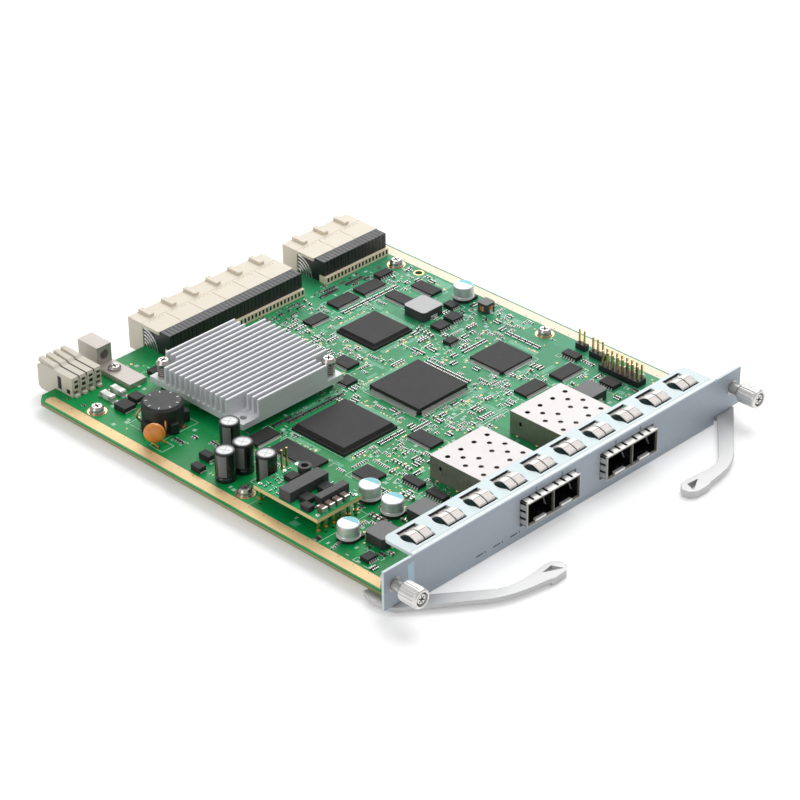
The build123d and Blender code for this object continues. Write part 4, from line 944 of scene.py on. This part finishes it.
# Fuse and diode ends
caps = Piece()
for name, reach in (("fuses", 0.7), ("power_diodes", 0.5)):
    for low, high in solids(name):
        x, y, _ = middle((low, high))
        for edge, flip in ((low[1], -1), (high[1], 1)):
            caps.box(x, edge + flip * (reach / 2 - 0.1), BOARD_TOP + 0.02, BOARD_TOP + (1.9 if name == "fuses" else 0.7),
                     high[0] - low[0] - 0.4, reach)
            if name == "fuses":
                caps.box(x, edge - flip * 0.7, BOARD_TOP + 0.02, high[2] + 0.08, high[0] - low[0] + 0.16, 1.6)
                caps.box(x, edge + flip * 0.7, BOARD_TOP + 0.005, BOARD_TOP + 0.1, high[0] - low[0] + 0.3, 1.5)
caps.make("fuse_and_diode_ends", ["collar_metal"], slot="tin", bevel=0.08)

# Converter board, lower over the main board and further back than its solids: capacitor ends, small parts, solder rings round its pins
SINK_BY = 1.9
AHEAD = -2.1


def lowered(name, made_name):
    """The node's own form, set lower and a little further back."""
    mesh = nodes[name].data.copy()
    for vertex in mesh.vertices:
        vertex.co -= Vector((AHEAD, AHEAD, SINK_BY)) / 1000
    item = bpy.data.objects.new(made_name, mesh)
    bpy.context.scene.collection.objects.link(item)
    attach(item, "card")
    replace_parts(item, name)


for name, made_name in (("converter_board", "low_converter_board"), ("converter_cores", "low_converter_cores"),
                        ("converter_chips", "low_converter_chips"), ("converter_capacitors", "low_converter_capacitors")):
    lowered(name, made_name)
ends, bits, print_lines = Piece(), Piece(), Piece()
top = 14.5 - SINK_BY
for low, high in solids("converter_capacitors"):
    x, y, _ = middle((low, high))
    for flip in (-1, 1):
        ends.box(x - AHEAD, y - AHEAD + flip * 1.35, top, top + 2.16, 2.42, 0.6)
converter_taken = [(low[0] - 0.4, low[1] - 0.4, high[0] + 0.4, high[1] + 0.4)
                   for name in ("converter_cores", "converter_chips", "converter_capacitors")
                   for low, high in solids(name)]
for _ in range(260):
    x, y = draw.uniform(-83.4, -63.2), draw.uniform(47.4, 78.4)
    if any(t[0] < x + 0.7 and t[2] > x - 0.7 and t[1] < y + 0.7 and t[3] > y - 0.7 for t in converter_taken):
        continue
    converter_taken.append((x - 0.75, y - 0.75, x + 0.75, y + 0.75))
    x, y = x - AHEAD, y - AHEAD
    turn = draw.choice((0, pi / 2))
    if draw.random() < 0.75:
        bits.box(x, y, top, top + 0.45, 0.6, 0.55, turn, draw.choice((0, 0, 1)))
        for flip in (-1, 1):
            ends.box(x + flip * 0.42 * cos(turn), y + flip * 0.42 * sin(turn), top, top + 0.47, 0.3, 0.6, turn)
    else:
        print_lines.box(x, y, top + 0.003, top + 0.03, 1.4, 0.22, turn)
pins = Piece()
for low, high in solids("converter_pins"):
    x, y, _ = middle((low, high))
    x, y = x - AHEAD, y - AHEAD
    ends.disc(x, y, top, top + 0.25, 0.85, 12)
    pins.box(x, y, BOARD_TOP - 1.2, top - 1.8, 0.9, 0.9)
    pins.disc(x, y, BOARD_TOP + 0.01, BOARD_TOP + 0.6, 0.95, 12)
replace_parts(pins.make("low_converter_pins", ["gold"]), "converter_pins")
bits.make("converter_small_parts", ["chip_plastic", "ceramic_brown"])
ends.make("converter_solder", ["solder"], slot="tin")
print_lines.make("converter_print", ["silk_white"], slot="fuse_white")

# Connectors: contact openings at the back as painted shade, side-wall ribs, and lighter lines and strips on the wafers
# as painted highlights
openings = Piece()
for left, modules in ((-35.5, 6), (49.2, 3)):
    for module in range(modules):
        for column in range(5):
            for row in range(6):
                x = left + module * 12 + 2.0 + column * 2.0
                # dark rectangles for the contact openings: painted shade
                openings.box(x, 202.22, 4.0 + row * 1.95, 4.9 + row * 1.95, 0.9, 0.06)
openings.make("connector_contact_holes", ["painted_hole_shade"], slot="black_plastic")
ribs, groove_shade = Piece(), Piece()
POWER_LEFT, POWER_COLUMN = -81.6, 3.675
for i in range(4):
    x = POWER_LEFT + (i + 0.5) * POWER_COLUMN
    ribs.loft([[(x + u, y, z) for u, y, z in ((-1.45, 195.5, low), (1.45, 195.5, low), (1.45, 206.0, low), (-1.45, 206.0, low))]
               if low < 14.5 else
               [(x - 1.45, 197.0, low), (x + 1.45, 197.0, low), (x + 1.0, 205.9, low + 0.5), (x - 1.0, 205.9, low + 0.5)]
               for low in (14.0, 15.1)])
    ribs.box(x, 185.15, 8.6, 13.6, 2.9, 0.4)
    ribs.box(x, 184.6, BOARD_TOP + 0.02, BOARD_TOP + 1.2, 1.9, 1.9)
    # dark strips for the grooves on the power connector: painted shade
    groove_shade.box(x, 184.93, 9.6, 11.0, 1.7, 0.05)
    groove_shade.box(x, 184.93, 12.0, 12.9, 1.7, 0.05)
    if i:
        groove_shade.box(POWER_LEFT + i * POWER_COLUMN, 190.7, 12.9, 14.25, 0.62, 10.6)
groove_shade.box(POWER_LEFT - 0.01, 192.8, 6.9, 12.3, 0.03, 1.9)
groove_shade.box(POWER_LEFT - 0.01, 187.7, 6.8, 8.5, 0.03, 1.8)
ribs.make("power_connector_ribs", ["power_plastic"], bevel=0.12)
groove_shade.make("power_connector_groove_shade", ["painted_hole_shade"], slot="black_plastic")
lips, step_shade_and_ticks = Piece(), Piece()
for left, modules in ((-35.5, 6), (49.2, 3)):
    width = modules * 12
    lips.box(left + width / 2, 203.95, 14.3, 15.9, width + 1.2, 1.5)
    lips.box(left + width / 2, 203.95, 1.9, 3.3, width + 1.2, 1.5)
    for flip in (-1, 1):
        lips.box(left + width / 2 + flip * (width / 2 + 0.1), 203.95, 3.3, 14.3, 1.0, 1.5)
    # darker line across each housing's top at its step: painted shade; the dashes beside it are generic print
    step_shade_and_ticks.box(left + width / 2, 196.6, 15.895, 15.915, width + 1.1, 0.16)
    for module in range(modules):
        lips.box(left + (module + 0.5) * 12, 203.95, 15.9, 17.2, 2.2, 1.5)
        for i in range(7):
            step_shade_and_ticks.box(left + module * 12 + 2.4 + i * 1.2, 195.2 + 0.5 * (i % 2), 15.895, 15.915, 0.7, 0.35)
lips.make("connector_rear_lips", ["beige_plastic"])
step_shade_and_ticks.make("connector_top_marks", ["beige_shade"], slot="beige_plastic")
comb_slot_shade = Piece()
for left, count in ((-35.5, 36), (49.2, 18)):
    for i in range(count):
        # black strips for the slots in the comb's front: painted shade
        comb_slot_shade.box(left + (i + 0.5) * 2.0, 179.07, 6.9, 8.75, 0.95, 0.05)
comb_slot_shade.make("comb_slots", ["painted_hole_shade"], slot="black_plastic")
wafer_highlights = Piece()
for left, count in ((-35.5, 36), (49.2, 18)):
    for i in range(count):
        # lighter lines down the wafers' fronts and diagonal strips on their tops: painted highlights
        x = left + i * 2.0 + 1.0
        wafer_highlights.box(x - 0.35, 180.37, 9.6, 15.6, 0.16, 0.05)
        if i % 2:
            wafer_highlights.box(x + 0.4, 180.37, 11.2, 14.6, 0.2, 0.05)
        wafer_highlights.prism([(x - 0.9, 180.5), (x - 0.2, 180.5), (x + 0.75, 186.0), (x + 0.05, 186.0)], 15.88, 15.92)
wafer_highlights.make("wafer_painted_highlights", ["wafer_highlight_grey"], slot="wafer_plastic")

# Transceiver cages: painted shade inside the ports and round the collars, wall ribs, latch tabs with painted glints,
# and solder at the pins
folds, cage_solder, port_shade_sheets, latch_tabs_and_highlights, collar_shade = Piece(), Piece(), Piece(), Piece(), Piece()
CAGE_LOW, CAGE_HIGH = 6.4, 15.3
for centre in (-12.8, 30.6):
    for side in (-1, 1):
        wall = centre + side * 14.15
        for y in [16.5 + 1.75 * i for i in range(8)] + [38.0 + 1.6 * i for i in range(5)]:
            folds.box(wall + side * 0.04, y, 9.4, 13.4, 0.10, 0.45)
        for y in (12.0, 22.0, 32.0, 42.0):
            cage_solder.turned(wall - side * 0.2, y, [(1.0, BOARD_TOP + 0.01), (0.75, BOARD_TOP + 0.22), (0.3, BOARD_TOP + 0.5)], 12)
            cage_solder.turned(wall - side * 0.2, y, [(0.4, BOARD_BOTTOM - 0.4), (0.8, BOARD_BOTTOM - 0.1), (0.9, BOARD_BOTTOM - 0.005)], 12)
        port = centre + side * 6.975
        inner = 6.74
        # dark sheets over each port's walls, roof and floor: painted shade inside the plated port
        for flip in (-1, 1):
            port_shade_sheets.box(port + flip * inner, 16.9, CAGE_LOW + 0.02, CAGE_HIGH - 0.02, 0.05, 37.8)
        port_shade_sheets.box(port, 16.9, CAGE_HIGH - 0.06, CAGE_HIGH - 0.01, 2 * inner, 37.8)
        port_shade_sheets.box(port, 16.9, CAGE_LOW + 0.01, CAGE_LOW + 0.06, 2 * inner, 37.8)
        # latch tab at each port's mouth, its near-white colour partly painted highlight
        latch_tabs_and_highlights.prism([(port - 2.9, -2.95), (port + 2.9, -2.95), (port + 2.7, -1.7), (port - 2.7, -1.7)], 6.45, 7.35)
        # slanted strips on each port's right inner wall: painted glints
        for y, low in ((0.6, 8.0), (3.4, 9.3), (6.6, 10.6)):
            latch_tabs_and_highlights.loft([[(port + inner - 0.10, y, low), (port + inner - 0.05, y, low), (port + inner - 0.05, y + 0.7, low),
                          (port + inner - 0.10, y + 0.7, low)],
                         [(port + inner - 0.10, y + 1.2, low + 2.2), (port + inner - 0.05, y + 1.2, low + 2.2),
                          (port + inner - 0.05, y + 1.9, low + 2.2), (port + inner - 0.10, y + 1.9, low + 2.2)]])
    folds.box(centre, 45.96, 7.0, 14.6, 26.0, 0.12)
    # black strips over the collar's top and sides: painted shade in the gap round the collar
    collar_shade.box(centre, -0.7, 15.72, 15.76, 28.2, 2.9)
    for side in (-1, 1):
        collar_shade.box(centre + side * 14.18, -0.7, 6.2, 15.5, 0.05, 2.9)
folds.make("cage_folds", ["cage_nickel"])
collar_shade.make("collar_painted_shade", ["painted_hole_shade"], slot="black_plastic")
port_shade_sheets.make("cage_port_painted_shade", ["painted_port_shade"], slot="black_plastic")
latch_tabs_and_highlights.make("latch_tabs_with_painted_highlights", ["latch_white_and_painted_highlight"], slot="cage_nickel")
cage_solder.make("cage_solder_joints", ["pad_gold"], slot="gold", smooth=True)

# Clip windows: painted shade under them and in their front and back slots, painted shade on each finger's front slope
# and at its crease, and a painted highlight with a painted shade line on the flange's bend
window_shade, pads, bend = Piece(), Piece(), Piece()
CLIP_Y = 7.4
for i in range(10):
    x = (i - 4.5) * 16.0
    # dark teal sheet under each window: painted shade seen through it
    window_shade.box(x, CLIP_Y + 1.6, 16.6, 16.8, 11.6, 12.4)
    # black strips at each window's back and front slot: painted shade
    window_shade.box(x, CLIP_Y + 6.86, 18.25, 19.37, 9.4, 0.05, paint=1)
    window_shade.box(x, CLIP_Y - 2.89, 18.3, 19.3, 8.5, 0.05, paint=1)
    # beige patch on each finger's front slope and a dark line at its crease: painted shade
    for left in (x - 4.15, x + 0.3):
        for paint, profile in ((0, ((-2.05, 20.08), (0.48, 20.985), (0.48, 21.015), (-2.05, 20.11))),
                               (1, ((0.48, 20.985), (0.66, 21.05), (0.66, 21.07), (0.48, 21.02)))):
            pads.loft([[(at, CLIP_Y + y, z) for y, z in profile] for at in (left + 0.15, left + 3.7)], paint)
window_shade.make("window_painted_shade", ["teal_painted_shade", "painted_hole_shade"], slot="black_plastic")
pads.make("clip_painted_shade", ["painted_slope_shade", "painted_crease_shade"], slot="nickel")
# white strip along the flange's front bend and a grey line behind it: painted highlight and painted shade
bend.box(0, 1.5, 19.405, 19.43, 163.0, 1.5, paint=0)
bend.box(0, 2.4, 19.405, 19.425, 163.0, 0.22, paint=1)
bend.make("flange_painted_highlight", ["painted_bend_highlight", "painted_bend_shade"], slot="panel_paint")

# Ejector levers: the solids' own form with a rounder tip, a larger finger hole and eased edges
LEVER_X, LEVER_Y = 88.3, 6.5
TIP_CENTRE, TIP_RADIUS = (-49.75, -31.4), 4.1
FINGER_HOLE = ((-49.2, -29.8), (-45.2, -30.2), (-50.4, -33.0))
HOLE_CENTRE, HOLE_GROWTH = (-48.27, -31.0), 1.35


def dressed_lever(name, made_name, side, turn, longer):
    """The lever's node, reshaped near its tip; longer is how far the tip moves out along x and forward along y."""
    mesh = nodes[name].data.copy()
    c, s = cos(radians(turn)), sin(radians(turn))
    for vertex in mesh.vertices:
        x, y = side * vertex.co.x * 1000 - LEVER_X, vertex.co.y * 1000 - FRONT - LEVER_Y
        u, v = x * c - y * s, x * s + y * c
        if any(hypot(u - a, v - b) < 0.3 for a, b in FINGER_HOLE):
            u = HOLE_CENTRE[0] + (u - HOLE_CENTRE[0]) * HOLE_GROWTH
            v = HOLE_CENTRE[1] + (v - HOLE_CENTRE[1]) * HOLE_GROWTH
        elif u < TIP_CENTRE[0] + 0.4:
            reach = hypot(u - TIP_CENTRE[0], v - TIP_CENTRE[1])
            u = TIP_CENTRE[0] + (u - TIP_CENTRE[0]) * TIP_RADIUS / reach
            v = TIP_CENTRE[1] + (v - TIP_CENTRE[1]) * TIP_RADIUS / reach
        share = longer * min(1.0, max(0.0, (-u - 28) / 15))
        x, y = u * c + v * s - share, -u * s + v * c - share
        vertex.co.x, vertex.co.y = side * (LEVER_X + x) / 1000, (FRONT + LEVER_Y + y) / 1000
    item = bpy.data.objects.new(made_name, mesh)
    bpy.context.scene.collection.objects.link(item)
    joined = item.modifiers.new("joined", "WELD")
    joined.merge_threshold = 0.00001
    flats = item.modifiers.new("flats", "DECIMATE")
    flats.decimate_type = "DISSOLVE"
    flats.angle_limit = radians(1.5)
    rounding = item.modifiers.new("rounding", "BEVEL")
    rounding.width, rounding.segments = 0.00035, 3
    rounding.limit_method, rounding.angle_limit = "ANGLE", radians(50)
    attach(item, name)
    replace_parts(item, name)


dressed_lever("left_lever", "left_ejector_lever", -1, 2.6, 1.8)
dressed_lever("right_lever", "right_ejector_lever", 1, 0.0, 0.0)

# Captive thumbscrews: fluted heads with a rimmed end face, and slimmer ferrules
THUMB_X, THUMB_Z, FLUTES = 92.0, 12.3, 15
HEAD_PROFILE = ((6.4, 0.9, 0), (5.8, 1.5, 0), (4.0, 1.5, 0), (4.0, 1.15, 0), (3.2, 1.15, 0), (3.2, 1.5, 0), (-10.2, 1.5, 0),
                (-10.2, 3.3, 0), (-5.0, 3.3, 0), (-5.0, 3.6, 0.3), (-5.7, 3.95, 0.8), (-6.4, 4.0, 1), (-12.4, 4.0, 1),
                (-12.8, 3.95, 0.3), (-13.3, 3.75, 0), (-13.6, 3.4, 0), (-13.6, 2.75, 0), (-12.9, 2.6, 0))
FERRULE_PROFILE = ((-4.0, 1.57), (-4.0, 2.3), (-0.5, 2.35), (-0.5, 2.1), (-0.35, 2.1), (-0.3, 2.95), (0.0, 2.95), (0.0, 2.65),
                   (1.2, 2.65), (1.2, 3.4), (2.2, 3.4), (2.2, 1.57), (-4.0, 1.57))


def flute(angle):
    """Depth of the narrow groove between two broad ribs."""
    return 0.26 * max(0.0, cos(FLUTES * angle)) ** 4


ferrules = Piece()
for side, name, body in ((-1, "left_thumbscrew", "left_screw"), (1, "right_thumbscrew", "right_screw")):
    axis_x = side * THUMB_X
    screw = Piece()
    screw.loft([[(axis_x + (r - share * flute(t)) * cos(t), y, THUMB_Z + (r - share * flute(t)) * sin(t))
                 for t in turns(FLUTES * 8)] for y, r, share in HEAD_PROFILE])
    # dark disc at the bottom of the end face's recess: painted shade
    screw.loft([[(axis_x + r * cos(t), y, THUMB_Z + r * sin(t)) for t in turns(32)]
                for y, r in ((-12.85, 2.55), (-12.93, 2.55))], 1)
    screw.loft([[(axis_x + r * cos(t), y, THUMB_Z + r * sin(t)) for t in turns(32)]
                for y, r in ((-12.9, 2.05), (-13.2, 2.0), (-13.3, 1.85))], 0)
    # dark bars across the boss's face: painted shade in its slots
    for quarter in (0.6, 0.6 + pi / 3, 0.6 + 2 * pi / 3):
        bar = [(u * cos(quarter) - v * sin(quarter), u * sin(quarter) + v * cos(quarter))
               for u, v in ((-1.6, -0.24), (1.6, -0.24), (1.6, 0.24), (-1.6, 0.24))]
        screw.loft([[(axis_x + u, y, THUMB_Z + v) for u, v in bar] for y in (-13.29, -13.33)], 1)
    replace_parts(screw.make(name.replace("thumbscrew", "fluted_screw"), ["thumb_steel", "print_and_end_face_shade"], body), name)
    ferrules.loft([[(axis_x + r * cos(t), y, THUMB_Z + r * sin(t)) for t in turns(36)] for y, r in FERRULE_PROFILE], closed=False)
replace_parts(ferrules.make("slim_ferrules", ["ferrule_steel"]), "screw_ferrules")

# Panel: label strip and small port marks
label = Piece()
label.box(-83.85, -0.06, 8.7, 17.3, 3.3, 0.12)
label.make("panel_label", ["label_blue"], slot="panel_paint")
port_marks = Piece()
DIGIT_STROKES = {
    1: [((0.5, 0.0), (0.5, 1.0)), ((0.2, 0.75), (0.5, 1.0))],
    2: [((0.1, 0.8), (0.5, 1.0)), ((0.5, 1.0), (0.8, 0.75)), ((0.8, 0.75), (0.1, 0.0)), ((0.1, 0.0), (0.85, 0.0))],
    3: [((0.1, 1.0), (0.8, 1.0)), ((0.8, 1.0), (0.45, 0.55)), ((0.45, 0.55), (0.8, 0.3)), ((0.8, 0.3), (0.45, 0.0)),
        ((0.45, 0.0), (0.1, 0.1))],
    4: [((0.65, 0.0), (0.65, 1.0)), ((0.65, 1.0), (0.1, 0.35)), ((0.1, 0.35), (0.9, 0.35))],
}


def stroke(piece, x0, z0, x1, z1, width):
    """A flat stroke printed on the panel's face."""
    length = hypot(x1 - x0, z1 - z0)
    u, v = (x1 - x0) / length * width / 2, (z1 - z0) / length * width / 2
    corners = [(x0 - u + v, z0 - v - u), (x0 - u - v, z0 - v + u), (x1 + u - v, z1 + v + u), (x1 + u + v, z1 + v - u)]
    piece.loft([[(x, y, z) for x, z in corners] for y in (-0.005, -0.03)])


for i, x in enumerate((-19.8, -5.8, 23.6, 37.6)):
    for (x0, z0), (x1, z1) in DIGIT_STROKES[i + 1]:
        stroke(port_marks, x + x0 * 1.1, 17.0 + z0 * 1.4, x + x1 * 1.1, 17.0 + z1 * 1.4, 0.24)
for i in range(3):
    stroke(port_marks, -50.5 + i * 9.0, 3.3, -47.3 + i * 9.0, 3.3, 0.5)
    stroke(port_marks, -46.0 + i * 9.0, 3.1, -46.0 + i * 9.0, 3.5, 0.45)
port_marks.make("panel_marks", ["print_and_end_face_shade"], slot="panel_paint")

# Solder joints under the board where pins come through
joints = Piece()
for name in ("converter_pins", "pin_header_pins"):
    for low, high in solids(name):
        x, y, _ = middle((low, high))
        joints.turned(x, y, [(0.35, BOARD_BOTTOM - 0.7), (0.75, BOARD_BOTTOM - 0.25), (0.95, BOARD_BOTTOM - 0.005)], 12)
for x, y in [(-83.2, 133.8), (-78.8, 133.8)] + [(m[0] + d, m[1]) for m in map(middle, solids("electrolytic_sleeves")) for d in (-1.75, 1.75)]:
    joints.turned(x, y, [(0.35, BOARD_BOTTOM - 0.8), (0.8, BOARD_BOTTOM - 0.25), (1.0, BOARD_BOTTOM - 0.005)], 12)
for left, count in ((-35.5, 36), (49.2, 18)):
    for i in range(count):
        for row in range(5):
            joints.disc(left + 1.0 + i * 2.0, 184.6 + row * 2.2, BOARD_BOTTOM - 0.06, BOARD_BOTTOM - 0.005, 0.5, 8)
joints.make("underside_solder_joints", ["solder"], slot="tin")

# Floor and surroundings
bpy.ops.mesh.primitive_plane_add(size=14, location=(0, 0, -0.0002))
floor = bpy.context.object
floor.name = "floor"
floor_tree = finish["floor_white"].node_tree
path = node(floor_tree, "LightPath")
seen = calc(floor_tree, "ADD", path.outputs["Is Camera Ray"], path.outputs["Is Glossy Ray"])
seen = calc(floor_tree, "MINIMUM", calc(floor_tree, "ADD", seen, path.outputs["Is Transmission Ray"]), 1.0)
floor_shader = floor_tree.nodes["Principled BSDF"]
floor_shader.inputs["Emission Color"].default_value = (1, 1, 1, 1)
floor_tree.links.new(calc(floor_tree, "MULTIPLY", seen, 0.28), floor_shader.inputs["Emission Strength"])
floor.data.materials.append(finish["floor_white"])
world = bpy.data.worlds.new("studio")
bpy.context.scene.world = world
world.use_nodes = True
world.node_tree.nodes["Background"].inputs["Color"].default_value = (1, 1, 1, 1)
world.node_tree.nodes["Background"].inputs["Strength"].default_value = 0.48
